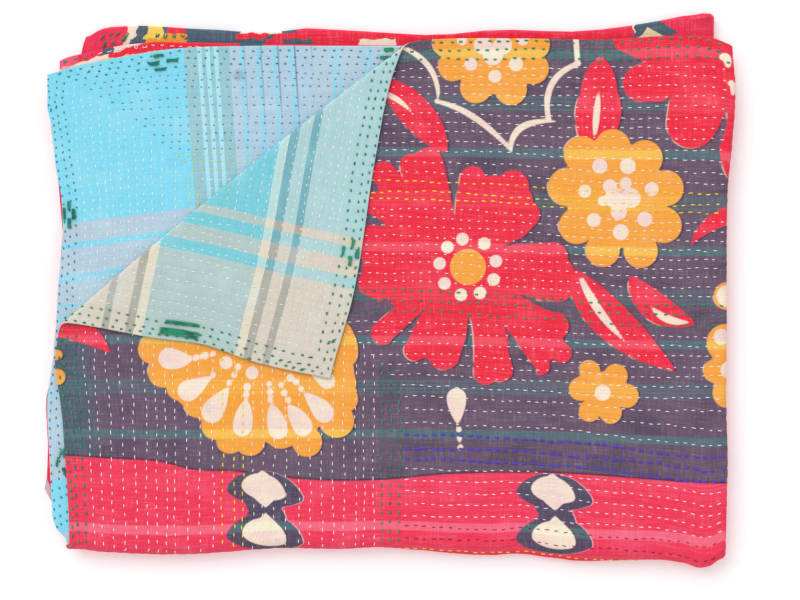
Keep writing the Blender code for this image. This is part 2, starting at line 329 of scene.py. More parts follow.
# Rows on the top layer by their distance from its far hem
TOP_END_ROWS = (
    Rows("green", (3, 10.5, 19)),
    Rows("white", (26.7, 35.3, 43.8, 52.5, 61.2, 70.7, 79.4, 88, 97.5, 106, 117, 127.3)),
    Rows("yellow", (136, 146.6, 153.6)),
    Rows("white", (163, 172, 180.6, 190.6, 199, 208, 216.6, 227, 236)),
    Rows("green", (245, 254.6, 265.6)),
    Rows("white", (276.6, 286.6, 297, 308.6, 318.6, 329.6, 340.6, 351.6, 364, 378.6)),
    Rows("blue", (390.6, 403.6, 415.6)),
    Rows("white", (425, 436.6, 448.6, 460.6, 473)),
    Rows("dark red", (484.6, 496.6)),
    Rows("yellow", (512,)),
)
# Rows on the second layer, by their distance from its left and far hems
SECOND_SIDE_ROWS = (
    Rows("sea green", (1.8, 8, 14)),
    Rows("white", (22, 29.5, 37, 44.5, 52, 59.5, 67, 75, 83, 91, 101, 114)),
    Rows("yellow", (128, 137, 146)),
    Rows("white", (156, 166, 176, 186, 196, 206, 216, 226, 236, 246, 256, 266)),
    Rows("green", (276, 286, 296)),
)
SECOND_END_ROWS = (
    Rows("sea green", (5, 12, 19)),
    Rows("maroon", (27.5, 33.5, 41.5, 52, 60.5, 71.5, 79.5, 89, 96.5, 104)),
    Rows("yellow", (111, 118, 126)),
    Rows("white", (135, 144, 153, 162, 171, 180, 189, 198, 207, 216, 225, 234)),
)
FIELD = 343


def row_list(rows):
    return np.array([d for group in rows for d in group.distances])


def hem_distances(flat):
    """Steps from the left hem and from the nearer end of the sheet, and which end that is."""
    side = np.minimum(flat[:, 0] - LEFT_HEM, RIGHT_HEM - flat[:, 0]) / STEP
    second = flat[:, 1] > (TOP_END + SECOND_END) / 2
    end = np.where(second, SECOND_END - flat[:, 1], flat[:, 1] - TOP_END) / STEP
    return side, end, second


# How far the rows on the top layer have fallen towards the right, by their place down the chart, and how much
# more they fall beside the right fold
FALL = (Knot(43, 0), Knot(190, 13), Knot(300, 15), Knot(430, 9), Knot(490, 5), Knot(530, 1))
RIGHT_FALL = (
    Knot(370, 0), Knot(398, 5), Knot(410, 10), Knot(455, 10.5), Knot(472, 12), Knot(500, 9), Knot(530, 5),
)


def fall(flat):
    """How far the rows across the top layer have fallen at each point, in steps."""
    across = CHART_ACROSS + flat[:, 0] / STEP
    down = CHART_DOWN - (2 * NEAR_FOLD - NEAR_TURN - flat[:, 1]) / STEP
    share = ease((across - 400) / 280) + 0.15 * ease((across - 60) / 200)
    right = ease((across - 555) / 185) * smooth_curve(RIGHT_FALL, down)
    return (smooth_curve(FALL, down) * share + right) * (flat[:, 1] < NEAR_FOLD)


def nearest(value, places):
    """The distance from each value to the nearest of the places."""
    i = np.clip(np.searchsorted(places, value), 1, len(places) - 1)
    return np.minimum(np.abs(value - places[i - 1]), np.abs(places[i] - value))


PUFF = 0.0006
ROW_WIDTH = 2.6
STITCH_PITCH = 8.7


def pucker(flat):
    """How far the quilting draws each surface in: most on the rows, and most where a stitch goes down."""
    side, end, second = hem_distances(flat)
    end_fallen = end - fall(flat)
    deep = np.zeros(len(flat))
    for at_second, side_rows, end_rows in (
        (False, TOP_SIDE_ROWS, TOP_END_ROWS),
        (True, SECOND_SIDE_ROWS, SECOND_END_ROWS),
    ):
        along_side = (side < FIELD) & (side < end)
        from_side = nearest(side, row_list(side_rows))
        from_end = nearest(end_fallen, row_list(end_rows))
        away = np.where(along_side, from_side, from_end)
        run = np.where(along_side, end, side)
        phase = np.where(along_side, side, end_fallen) * 1.7
        stitch = 0.72 + 0.28 * np.cos(2 * np.pi * run / STITCH_PITCH + phase)
        deep = np.where(second == at_second, np.exp(-((away / ROW_WIDTH) ** 2)) * stitch, deep)
    x, y = flat[:, 0] / STEP, flat[:, 1] / STEP
    waves = 0.25 * np.sin(x * 0.21 + 2.0 * np.sin(y * 0.043)) * np.sin(y * 0.17 + 2.3 * np.sin(x * 0.031))
    return PUFF * (deep + waves)


def hem_round(flat):
    """The share of the half thickness that is left beside a hem, where both cloths turn in to meet."""
    inside = np.minimum(flat[:, 0] - LEFT_HEM, RIGHT_HEM - flat[:, 0])
    inside = np.minimum(inside, np.minimum(flat[:, 1] - TOP_END, SECOND_END - flat[:, 1]))
    away = np.clip(1 - inside / (0.9 * QUILT), 0, 1)
    return np.sqrt(np.clip(1 - away**2, 0, 1))


PRINT_SIDE = -1
CHECK_SIDE = 1


def on_cloth(x, y, side, lift=0.0):
    """Points of one side of the flat quilt, lifted off it by a height."""
    flat = np.column_stack((x, y, np.zeros(len(x))))
    half = (QUILT / 2 - pucker(flat)) * hem_round(flat) + lift
    flat[:, 2] = QUILT / 2 + side * half
    return flat


def spaced(first, last, spacing):
    count = max(int(np.ceil(abs(last - first) / spacing)), 1)
    return np.linspace(first, last, count + 1)


# Spacing of grid lines: the least, and where the cloth is hidden and where it starts to turn
LEAST_SPACING = 0.00009
HIDDEN_SPACING = 0.035
TURNING_SPACING = 0.006
TURNING_RUN = 0.03


def between_rows(start, way, places, parts):
    """Grid lines on each row of stitches and evenly between, from a hem at start."""
    marks = np.concatenate(((0,), places)) * STEP * way + start
    between = [np.linspace(a, b, parts, endpoint=False) for a, b in zip(marks, marks[1:])]
    return np.concatenate(between + [marks[-1:]])


def hem_lines(hem, way):
    return hem + way * QUILT * np.array((0, 0.04, 0.16, 0.36, 0.62, 0.95))


def tidy_lines(*groups):
    """Grid lines in order, none closer together than the least spacing."""
    lines = np.sort(np.concatenate(groups))
    kept = [lines[0]]
    for line in lines[1:-1]:
        if line - kept[-1] > LEAST_SPACING:
            kept.append(line)
    return np.array(kept + [lines[-1]])


def turn_lines(spacing_near, spacing_far):
    """Lines along the sheet where it turns: the near fold's two turns and the far fold's one."""
    return np.concatenate((
        spaced(TOP_PANEL, NEAR_FOLD, spacing_near),
        spaced(FAR_FOLD, FAR_FOLD + FAR_TURN, spacing_far),
        spaced(MIRROR - NEAR_FOLD, SECOND_PANEL, spacing_near),
    ))


def hidden_lines():
    """Lines along the sheet between its turns, where it lies inside the pile."""
    return np.concatenate((
        spaced(NEAR_FOLD, FAR_FOLD - TURNING_RUN, HIDDEN_SPACING),
        spaced(FAR_FOLD - TURNING_RUN, FAR_FOLD, TURNING_SPACING),
        spaced(FAR_FOLD + FAR_TURN, FAR_FOLD + FAR_TURN + TURNING_RUN, TURNING_SPACING),
        spaced(FAR_FOLD + FAR_TURN + TURNING_RUN, MIRROR - NEAR_FOLD, HIDDEN_SPACING),
    ))


def side_lines():
    """Lines across the sheet where it turns at the right, and across the lower panel to its hem."""
    return np.concatenate((
        spaced(RIGHT_FOLD, RIGHT_FOLD + SIDE_TURN, 0.0019),
        spaced(RIGHT_FOLD + SIDE_TURN, RIGHT_HEM - 0.04, HIDDEN_SPACING),
        spaced(RIGHT_HEM - 0.04, RIGHT_HEM, 0.005),
        hem_lines(RIGHT_HEM, -1),
    ))


def print_lines():
    """Grid lines for the printed cloth: fine where its top panel shows."""
    columns = tidy_lines(
        hem_lines(LEFT_HEM, 1),
        between_rows(LEFT_HEM, 1, row_list(TOP_SIDE_ROWS), 4),
        spaced(LEFT_HEM + 338 * STEP, RIGHT_FOLD, 0.0031),
        side_lines(),
    )
    rows = tidy_lines(
        hem_lines(TOP_END, 1),
        between_rows(TOP_END, 1, row_list(TOP_END_ROWS)[:-1], 4),
        turn_lines(0.0019, 0.0011),
        hidden_lines(),
        spaced(SECOND_PANEL, SECOND_END - 0.04, HIDDEN_SPACING),
        spaced(SECOND_END - 0.04, SECOND_END, TURNING_SPACING),
        hem_lines(SECOND_END, -1),
    )
    return columns, rows


CHECKS_SHOW_TO = 0.035
CHECKS_SHOW_DOWN = 0.345


def check_lines():
    """Grid lines for the checked cloth: fine at its two ends, where the corner and the layer below show."""
    columns = tidy_lines(
        hem_lines(LEFT_HEM, 1),
        spaced(LEFT_HEM, CHECKS_SHOW_TO, 0.0026),
        spaced(CHECKS_SHOW_TO, RIGHT_FOLD, 0.03),
        side_lines(),
    )
    rows = tidy_lines(
        hem_lines(TOP_END, 1),
        spaced(TOP_END, TOP_END + CHECKS_SHOW_DOWN, 0.0026),
        spaced(TOP_END + CHECKS_SHOW_DOWN, TOP_PANEL, 0.03),
        turn_lines(0.0022, 0.0013),
        hidden_lines(),
        spaced(SECOND_PANEL, SECOND_END - CHECKS_SHOW_DOWN, 0.012),
        spaced(SECOND_END - CHECKS_SHOW_DOWN, SECOND_END, 0.0026),
        hem_lines(SECOND_END, -1),
    )
    return columns, rows


def weave_cloth(name, lines, side, bake_stops):
    """A folded cloth as a plain mesh of quads with its cloth coordinates, and its flat points."""
    columns, rows = lines
    x, y = [grid.ravel() for grid in np.meshgrid(columns, rows)]
    flat = on_cloth(x, y, side)
    placed = fold_all(flat)
    wide = len(columns)
    first = (np.arange(len(rows) - 1)[:, None] * wide + np.arange(wide - 1)).ravel()
    quads = np.column_stack((first, first + 1, first + wide + 1, first + wide))
    if side == PRINT_SIDE:
        quads = quads[:, ::-1]
    mesh = bpy.data.meshes.new(name)
    mesh.from_pydata(placed.tolist(), [], quads.tolist())
    mesh.shade_smooth()
    side_steps = (flat[:, 0] - LEFT_HEM) / STEP
    end_steps = (flat[:, 1] - TOP_END) / STEP - fall(flat)
    add_uv(mesh, "Cloth", side_steps / MAP_STEPS, end_steps / MAP_STEPS)
    along_x, along_y = bake_stops
    add_uv(mesh, "OFBake", np.interp(flat[:, 0], *zip(*along_x)), np.interp(flat[:, 1], *zip(*along_y)))
    thing = bpy.data.objects.new(name, mesh)
    bpy.context.scene.collection.objects.link(thing)
    return thing, flat


def add_uv(mesh, name, u, v):
    layer = mesh.uv_layers.new(name=name)
    corners = np.empty(len(mesh.loops), dtype=np.int32)
    mesh.loops.foreach_get("vertex_index", corners)
    layer.data.foreach_set("uv", np.column_stack((u, v))[corners].ravel())


def add_value(mesh, name, values):
    made = mesh.attributes.new(name, "FLOAT", "POINT")
    made.data.foreach_set("value", np.asarray(values, dtype=np.float32))


# The print, in steps of the chart

Dot = namedtuple("Dot", "across down size")
Brush = namedtuple("Brush", "start middle end sizes")

BRUSH_MARKS = 30


def through(first, middle, last, t):
    """A parabola through three values, at t from 0 to 1."""
    return first * (1 - t) * (1 - 2 * t) + middle * 4 * t * (1 - t) + last * t * (2 * t - 1)


def inside_dots(x, y, dots):
    """How far inside the nearest dot each point is."""
    deep = np.full(len(x), -99.0)
    for dot in dots:
        deep = np.maximum(deep, dot.size - np.hypot(x - dot.across, y - dot.down))
    return deep


def brush_dots(brush):
    """The round marks that a brush leaves along its way, of changing size."""
    ways = zip(brush.start, brush.middle, brush.end)
    t = np.linspace(0, 1, BRUSH_MARKS)
    across, down = [through(a, b, c, t) for a, b, c in ways]
    size = np.maximum(through(*brush.sizes, t), 0.1)
    return [Dot(*mark) for mark in zip(across, down, size)]


def inside_brushes(x, y, brushes):
    return inside_dots(x, y, [dot for brush in brushes for dot in brush_dots(brush)])


BLOOM = Dot(468, 267, 18)
BLOOM_HEART = 46
PETAL_ROOT = 25
PETAL_LOBES = (
    Dot(412, 166, 12), Dot(428, 163, 15), Dot(431, 185, 14),
    Dot(384, 174, 12), Dot(377, 204, 12), Dot(392, 196, 14),
    Dot(374, 238, 13), Dot(371, 251, 12),
    Dot(371, 283, 13), Dot(380, 289, 12),
    Dot(383, 333, 12),
    Dot(415, 350, 11), Dot(444, 354, 16), Dot(430, 344, 15),
    Dot(486, 373, 12), Dot(501, 370, 12), Dot(490, 350, 14),
    Dot(541, 366, 9), Dot(562, 353, 10), Dot(555, 326, 14), Dot(548, 345, 15),
    Dot(553, 257, 15), Dot(559, 288, 14), Dot(560, 272, 14),
    Dot(473, 179, 13), Dot(513, 186, 16), Dot(526, 214, 14), Dot(494, 190, 15), Dot(518, 200, 15),
)
BLOOM_SIDE = (Dot(420, 242, 38), Dot(404, 208, 24), Dot(412, 280, 31), Dot(396, 262, 34))
PETAL_GAPS = (
    Brush((455, 217), (453, 190), (450, 158), (0.5, 3.5, 7)),
    Brush((503, 247), (520, 241), (546, 234), (0.5, 2.5, 6)),
    Brush((515, 290), (533, 300.5), (556, 309), (0.5, 2.2, 4)),
    Brush((503, 322), (513, 342), (530, 372), (0.5, 3, 7)),
    Brush((468, 314), (470, 334), (468, 372), (0.5, 3.5, 6)),
    Brush((425, 309), (413, 323), (398, 343), (0.5, 2.5, 7)),
    Brush((391, 300.5), (382, 304.5), (368, 311), (0.3, 2.5, 7)),
    Brush((386, 225), (377, 220), (362, 214), (0.5, 2, 4)),
    Brush((402, 177), (399, 169), (396, 158), (0.5, 2, 4)),
    Brush((368, 263), (360, 263), (352, 264), (0.5, 2, 3)),
)
RING_TURNS = (12, 55, 101, 136, 173, 215, 256, 295, 334)
RING_RADIUS = 28.6
RING_DOT = 6.3

LEAVES = (
    Brush((378, 76), (417, 114), (447, 153), (0, 16.5, 0)),
    Brush((602, 56), (600, 78), (599, 98), (0, 15, 18)),
    Brush((601, 96), (598, 116), (595, 150), (15, 22.5, 8)),
    Brush((576, 278), (616, 325), (678, 372), (8, 19, 0)),
    Brush((631, 276), (656, 307), (697, 324), (1, 14.5, 0)),
    Brush((52, 328), (82, 332), (111, 354), (8, 11, 0)),
    Brush((691, 246), (708, 226), (734, 214), (0, 6.5, 9)),
)
FAR_RIGHT_BLOOM = (
    Brush((622, 42), (680, 46), (740, 52), (8, 24, 26)),
    Brush((642, 83), (672, 78), (710, 76), (18.5, 24, 30)),
    Brush((702, 80), (698, 104), (692, 123), (28, 28, 25)),
    Brush((742, 100), (738, 140), (738, 170), (12, 18, 12)),
)
FAR_RIGHT_GAPS = (
    Brush((672.5, 95.5), (667.5, 100.5), (660, 109), (0.2, 1.8, 5)),
    Brush((727, 107), (724, 124), (716, 146), (0, 3, 4)),
)

FULL_FLOWER = (
    Dot(617, 198, 50), Dot(613, 147, 18), Dot(645, 158, 18), Dot(666, 188, 18), Dot(664, 225, 18),
    Dot(641, 251, 17), Dot(603, 250, 17), Dot(577, 226, 18), Dot(567, 187, 19), Dot(582, 154, 18),
)
HALF_FLOWER = (
    Dot(492, 58, 36), Dot(453, 66, 15), Dot(447, 43, 14), Dot(476, 87, 16), Dot(511, 89, 16),
    Dot(533, 68, 16), Dot(534, 44, 16),
)
SMALL_FLOWER = (
    Dot(603, 392, 20), Dot(590, 371, 10.5), Dot(616, 376, 12), Dot(581, 389, 12), Dot(627, 396, 12),
    Dot(611, 413, 11), Dot(590, 411, 11),
)
FAN = (
    Dot(152, 350, 14), Dot(163, 373, 15), Dot(180, 387, 14), Dot(198, 403, 15), Dot(216, 425, 15),
    Dot(230, 440, 14), Dot(250, 441, 15), Dot(281, 432, 17), Dot(307, 442, 15), Dot(337, 421, 17),
    Dot(344, 399, 14), Dot(336, 376, 16), Dot(57, 355, 5), Dot(57, 377, 8),
)
FAN_BODY = (
    Brush((166, 350), (246, 396), (326, 384), (18, 42, 30)),
    Brush((180, 352), (250, 360), (330, 372), (24, 40, 24)),
    Brush((338, 316), (347, 342), (352, 362), (2, 9.5, 3)),
)
RIGHT_FLOWER = (Dot(728, 296, 14), Dot(726, 343, 19), Dot(716, 371, 12), Dot(728, 393, 15))

CREAM_DOTS = (
    Dot(610, 186, 7), Dot(626, 183, 6), Dot(615, 198, 10), Dot(631, 198, 10), Dot(603, 201, 5),
    Dot(619, 212, 8), Dot(600, 166, 7.5), Dot(628, 166, 8), Dot(585, 191, 6.5), Dot(652, 189, 7),
    Dot(594, 220, 7), Dot(645, 219, 7.5), Dot(621, 232, 8),
    Dot(483, 45, 9), Dot(503, 45, 9), Dot(493, 55, 10), Dot(471, 64, 6.5), Dot(516, 64, 7), Dot(495, 76, 6.5),
    Dot(462, 40, 5), Dot(523, 39, 6),
    Dot(603, 393, 8), Dot(459, 429.6, 3), Dot(459.6, 438.6, 3), Dot(460.4, 447.4, 3.1),
    Dot(196, 358, 3.5), Dot(205, 356, 4), Dot(213, 354, 3), Dot(213, 375, 3), Dot(229, 383, 3),
    Dot(246, 395, 3.5), Dot(247, 387, 4), Dot(270, 400, 3), Dot(270, 392, 3.5), Dot(269, 384, 3),
    Dot(288, 400, 3.3), Dot(284, 393, 3.5), Dot(281, 385, 3), Dot(301, 389, 3), Dot(296, 382, 3.5),
    Dot(290, 378, 4), Dot(226, 363, 6.5), Dot(252, 373, 6.5), Dot(238, 367, 3.5), Dot(234, 375, 3.3),
    Dot(728, 296, 11), Dot(722, 337, 8), Dot(730, 370, 9),
)
CREAM_BRUSHES = (
    Brush((400, 46), (430, 68), (438, 102), (2, 2.9, 1.2)),
    Brush((436, 101), (474, 117), (511, 150), (1.8, 3.2, 2)),
    Brush((511, 150), (522, 127), (556, 121), (1.6, 3.4, 0.8)),
    Brush((549, 120), (552, 84), (579, 63), (2.6, 3.2, 2.4)),
    Brush((578, 64), (577, 50), (576, 36), (2.6, 2.8, 2.8)),
    Brush((388, 95), (402, 103), (414, 115), (2.6, 2.4, 0.2)),
    Brush((599, 90), (597, 112), (595, 134), (0.5, 3.4, 1.6)),
    Brush((582, 280), (601, 313), (628, 344), (2.5, 4.2, 0.2)),
    Brush((651, 306), (668, 319), (690, 322), (0.4, 4, 0.4)),
    Brush((723, 56.5), (727, 58), (728.5, 64.5), (3.2, 4.2, 3)),
    Brush((729, 83), (733, 84), (733.6, 93), (1.2, 3.2, 2)),
    Brush((456.5, 398), (457, 409), (457.8, 424.5), (9.8, 7.5, 0.5)),
    Brush((169, 359), (180, 360), (192, 359), (10.5, 8, 1)),
    Brush((188, 391), (197, 386), (211, 377), (10.5, 7.5, 1)),
    Brush((212, 412), (218, 403), (228, 388), (11, 8.5, 1)),
    Brush((242, 427), (244, 414), (246, 400), (9.5, 8, 1)),
    Brush((278, 430), (275, 418), (271, 405), (9.5, 8, 1)),
    Brush((303, 427), (297, 417), (288, 405), (9.5, 8, 1)),
    Brush((324, 413), (317, 405), (304, 393), (10, 8, 1)),
    Brush((327, 381), (320, 376), (312, 372), (8, 6, 2)),
)

# The wavy top of the border, and its hourglasses
BORDER_TOP = (
    Knot(58, 456), Knot(112, 459), Knot(158, 462), Knot(193, 470), Knot(235, 472), Knot(284, 478),
    Knot(333, 481), Knot(385, 480), Knot(440, 475), Knot(535, 473), Knot(735, 484),
)
HOURGLASS_REPEATS = ((0, 0), (290, 3))
HOURGLASS_DARK = (
    Brush((232, 489), (264, 489), (298, 498.5), (5.5, 18, 5)),
    Brush((231, 536), (266, 533), (300, 542.5), (5, 19, 3)),
    Brush((264, 498), (265.5, 510), (266, 522), (20, 14.5, 20)),
)
HOURGLASS_CREAM = (
    Brush((244.5, 486), (262.5, 487), (283, 496), (3, 13, 2.5)),
    Brush((261.7, 472), (262.3, 479), (263, 488), (1.2, 7, 13)),
    Brush((264, 490), (265.2, 499), (265.3, 507.5), (13, 7, 0.3)),
    Brush((248, 533), (264, 532.5), (281, 540.5), (6, 13.5, 5)),
    Brush((266, 532), (265.5, 522), (264.7, 513), (13.5, 6.5, 0.3)),
)


def moved(brushes, across, down):
    """The same brush strokes at another place on the chart."""
    return [
        Brush(*[(place[0] + across, place[1] + down) for place in brush[:3]], brush.sizes)
        for brush in brushes
    ]


def inside_red(x, y):
    """The red flowers and leaves."""
    petals = [
        Brush(BLOOM[:2], ((BLOOM.across + lobe.across) / 2, (BLOOM.down + lobe.down) / 2), lobe[:2],
              (PETAL_ROOT, (PETAL_ROOT + lobe.size) / 2 - 2, lobe.size))
        for lobe in PETAL_LOBES
    ]
    bloom = inside_dots(x, y, (Dot(BLOOM.across, BLOOM.down, BLOOM_HEART), *BLOOM_SIDE))
    bloom = np.maximum(bloom, inside_brushes(x, y, petals))
    bloom = np.minimum(bloom, -inside_brushes(x, y, PETAL_GAPS))
    far_right = np.minimum(inside_brushes(x, y, FAR_RIGHT_BLOOM), -inside_brushes(x, y, FAR_RIGHT_GAPS))
    return np.maximum.reduce((bloom, far_right, inside_brushes(x, y, LEAVES)))


def inside_orange(x, y):
    """The orange flowers, the fan and the middle of the big flower."""
    dots = (*FULL_FLOWER, *HALF_FLOWER, *SMALL_FLOWER, *FAN, *RIGHT_FLOWER, BLOOM)
    return np.maximum(inside_dots(x, y, dots), inside_brushes(x, y, FAN_BODY))


def inside_cream(x, y):
    """Everything printed in cream."""
    ring = [
        Dot(BLOOM.across + RING_RADIUS * np.cos(turn), BLOOM.down - RING_RADIUS * np.sin(turn), RING_DOT)
        for turn in np.radians(RING_TURNS)
    ]
    strokes = list(CREAM_BRUSHES)
    for across, down in HOURGLASS_REPEATS:
        strokes += moved(HOURGLASS_CREAM, across, down)
    return np.maximum(inside_dots(x, y, (*ring, *CREAM_DOTS)), inside_brushes(x, y, strokes))


def inside_dark(x, y):
    return np.maximum.reduce([
        inside_brushes(x, y, moved(HOURGLASS_DARK, across, down)) for across, down in HOURGLASS_REPEATS
    ])


PALE_EDGE = 1.3
DARK_EDGE = 2.0
RIM_WIDE = 1.0


def print_pattern(thing, flat):
    """Writes on the printed cloth how deep inside each colour of the print every point lies."""
    laid = fold_in_three(flat)
    x, y = on_chart(laid)
    top = flat[:, 1] < TOP_SHOWS_TO
    top &= flat[:, 0] < RIGHT_FOLD + SIDE_TURN * 0.6
    values = {
        "red": np.where(top, inside_red(x, y), 9.0),
        "orange": inside_orange(x, y),
        "cream": inside_cream(x, y),
        "dark": inside_dark(x, y),
        "border": y - smooth_curve(BORDER_TOP, x),
        "pale_edge": np.maximum(inside_red(x + PALE_EDGE, y - 0.4), inside_orange(x + PALE_EDGE, y + 0.5)),
        "dark_rim": inside_dark(x - RIM_WIDE, y),
        "dark_edge": np.maximum(inside_red(x - DARK_EDGE, y - 0.8), inside_orange(x - DARK_EDGE, y - 1.0)),
    }
    for name, deep in values.items():
        add_value(thing.data, name, np.where(top, deep, values[name] if name == "red" else -9.0))
    add_value(thing.data, "fall", fall(flat))
    add_value(thing.data, "laid_across", x)
    add_value(thing.data, "laid_down", y)
    add_value(thing.data, "lower", (y < 90) & ~top)
    add_value(thing.data, "hem_layer", flat[:, 1] > SECOND_PANEL)


# Finishes

def tint(red, green, blue):
    """A colour given as it looks, from 0 to 255, as the light that it reflects."""
    seen = np.array((red, green, blue)) / 255
    lit = np.where(seen <= 0.04045, seen / 12.92, ((seen + 0.055) / 1.055) ** 2.4)
    return (*[float(part) for part in lit], 1.0)


class Wire:
    """A value in a finish. Sums with it add Math nodes."""

    def __init__(self, finish, socket):
        self.finish = finish
        self.socket = socket

    def sum(self, operation, *values):
        return self.finish.node("ShaderNodeMath", {"operation": operation}, dict(enumerate(values)))

    def __add__(self, other):
        return self.sum("ADD", self, other)

    def __sub__(self, other):
        return self.sum("SUBTRACT", self, other)

    def __rsub__(self, other):
        return self.sum("SUBTRACT", other, self)

    def __mul__(self, other):
        return self.sum("MULTIPLY", self, other)

    def __truediv__(self, other):
        return self.sum("DIVIDE", self, other)

    __radd__ = __add__
    __rmul__ = __mul__

    def __abs__(self):
        return self.sum("ABSOLUTE", self)

    def wrapped(self, low, high):
        return self.sum("WRAP", self, high, low)

    def larger(self, other):
        return self.sum("MAXIMUM", self, other)

    def over(self, other):
        return self.sum("GREATER_THAN", self, other)

    def ramp(self, low, high):
        """0 below low and 1 above high, easing between."""
        ends = {1: low, 2: high, 3: 0.0, 4: 1.0}
        return self.finish.node("ShaderNodeMapRange", {"interpolation_type": "SMOOTHSTEP"}, {0: self, **ends})


RAMP_RUN = 128


class Finish:
    """A material and what is added to its nodes."""

    def __init__(self, name):
        self.material = bpy.data.materials.new(name)
        self.material.use_nodes = True
        self.tree = self.material.node_tree
        self.shader = self.tree.nodes["Principled BSDF"]

    def node(self, kind, settings, inputs, output=0):
        """Adds a node, its settings first, then a value or a link for each socket."""
        made = self.tree.nodes.new(kind)
        for name, value in settings.items():
            setattr(made, name, value)
        for socket, value in inputs.items():
            self.set(made.inputs[socket], value)
        return Wire(self, made.outputs[output])

    def set(self, socket, value):
        if isinstance(value, Wire):
            self.tree.links.new(value.socket, socket)
        else:
            socket.default_value = value

    def give(self, **inputs):
        """Sets the shader's own sockets."""
        for name, value in inputs.items():
            self.set(self.shader.inputs[name.replace("_", " ").title().replace("Ior", "IOR")], value)

    def mix(self, under, over, share):
        """The colour over laid on the colour under by a share."""
        return self.node("ShaderNodeMix", {"data_type": "RGBA"}, {0: share, 6: under, 7: over}, 2)

    def value(self, name):
        return self.node("ShaderNodeAttribute", {"attribute_name": name}, {}, "Fac")

    def cloth_steps(self):
        """Steps across and along the cloth."""
        uv = self.node("ShaderNodeUVMap", {"uv_map": "Cloth"}, {})
        parts = self.node("ShaderNodeSeparateXYZ", {}, {0: uv})
        along = Wire(self, parts.socket.node.outputs[1])
        return parts * MAP_STEPS, along * MAP_STEPS

    def noise(self, across, along, scale=1.0, detail=2.0, roughness=0.5):
        """Noise over two values, stretched as they are."""
        place = self.node("ShaderNodeCombineXYZ", {}, {0: across, 1: along})
        inputs = {"Vector": place, "Scale": scale, "Detail": detail, "Roughness": roughness}
        return self.node("ShaderNodeTexNoise", {}, inputs)

    def stripes(self, place, stops):
        """Stripes of flat colour along a place, each from its first step on, made of short ramps."""
        colour = stops[0][1]
        for begin in range(0, int(stops[-1][0]) + 1, RAMP_RUN):
            started = [stop for stop in stops if stop[0] <= begin][-1:] or [stops[0]]
            within = [stop for stop in stops if begin < stop[0] < begin + RAMP_RUN]
            if begin and not within and started[0][0] <= begin - RAMP_RUN:
                continue
            made = self.tree.nodes.new("ShaderNodeValToRGB")
            ramp = made.color_ramp
            ramp.interpolation = "CONSTANT"
            ramp.elements.remove(ramp.elements[1])
            ramp.elements[0].color = started[0][1]
            for first, shade in within:
                ramp.elements.new((first - begin) / RAMP_RUN).color = shade
            self.set(made.inputs[0], (place - begin) / RAMP_RUN)
            colour = self.mix(colour, Wire(self, made.outputs[0]), place.over(begin))
        return colour

    def bump(self, height, strength, distance):
        return self.node("ShaderNodeBump", {}, {"Strength": strength, "Distance": distance, "Height": height})


PLUM = tint(110, 89, 110)
PLUM_WARM = tint(160, 74, 124)
PLUM_DEEP = tint(86, 73, 93)
SLATE = tint(80, 100, 114)
BAND_SLATE = tint(88, 118, 126)
RED = tint(243, 42, 68)
RED_WORN = tint(250, 82, 106)
RED_BAND = tint(252, 98, 118)
BORDER_RED = tint(245, 54, 88)
BORDER_WORN = tint(249, 92, 124)
ORANGE = tint(251, 166, 62)
ORANGE_WORN = tint(252, 184, 104)
ORANGE_BAND = tint(255, 212, 96)
CREAM = tint(250, 230, 208)
CREAM_PINK = tint(246, 210, 210)
CREAM_BAND = tint(255, 246, 218)
PALE_PINK = tint(250, 178, 178)

BAND_PERIOD = 93.9
FIRST_BAND = 14.6
FIRST_LINED_BAND = 61.0

# What shows of the print at the far side on the lower layers: runs of colour across the chart
FAR_FOLD_OUTER = (
    (0, SLATE), (84, BORDER_RED), (126, CREAM), (135, SLATE), (146, ORANGE_BAND), (161, SLATE), (165, RED),
    (185, SLATE), (240, CREAM), (280, SLATE), (295, BORDER_RED), (635, CREAM), (636.5, SLATE),
    (664, BORDER_RED),
)
FAR_FOLD_MIDDLE = (
    (0, BORDER_RED), (125, CREAM), (135, SLATE), (144.5, ORANGE_BAND), (161, ORANGE), (185, SLATE),
    (236, RED), (268, SLATE), (273, RED), (634, SLATE), (645, CREAM), (656, SLATE), (676, BORDER_RED),
)
FAR_FOLD_INNER = (
    (0, BORDER_RED), (122, CREAM), (129, SLATE), (144.5, ORANGE), (185, SLATE), (266, RED), (281, SLATE),
    (313, RED), (360, CREAM), (396, RED), (633, SLATE), (640, CREAM), (667, SLATE), (690, BORDER_RED),
)
FAR_HEM_OUTER = (
    (0, BORDER_WORN), (76, BORDER_RED), (101, SLATE), (113, CREAM_PINK), (148, RED), (300, SLATE),
)
FAR_HEM_INNER = ((0, PALE_PINK), (69, CREAM), (108, RED), (240, SLATE), (262, RED))


def weave(finish, across, along):
    """Fine uneven threads both ways, from 0 to 1 about a half, and the relief that they give."""
    warp = finish.noise(across * 0.62, along * 0.045, detail=3.0, roughness=0.62)
    weft = finish.noise(across * 0.04, along * 0.62, detail=3.0, roughness=0.62)
    thread = finish.noise(across * 1.7, along * 1.7, detail=2.0)
    return warp, weft, thread


Grain = namedtuple("Grain", "colour share")


def finish_cotton(finish, colour, threads, dark, pale):
    """Gives a cotton its darker and paler threads and its matte relief."""
    warp, weft, thread = threads
    grain = (warp - 0.5) * 0.6 + (weft - 0.5) * 0.6 + (thread - 0.5) * 0.6
    colour = finish.mix(colour, dark.colour, grain.ramp(0.0, 0.42) * dark.share)
    colour = finish.mix(colour, pale.colour, (grain * -1).ramp(0.0, 0.42) * pale.share)
    relief = warp * 0.5 + weft * 0.5 + thread * 0.6
    finish.give(
        base_color=colour, roughness=0.9 - 0.12 * thread, normal=finish.bump(relief, 0.7, 0.001),
        sheen_weight=0.06, sheen_roughness=0.5, specular_ior_level=0.12,
    )
    return finish.material


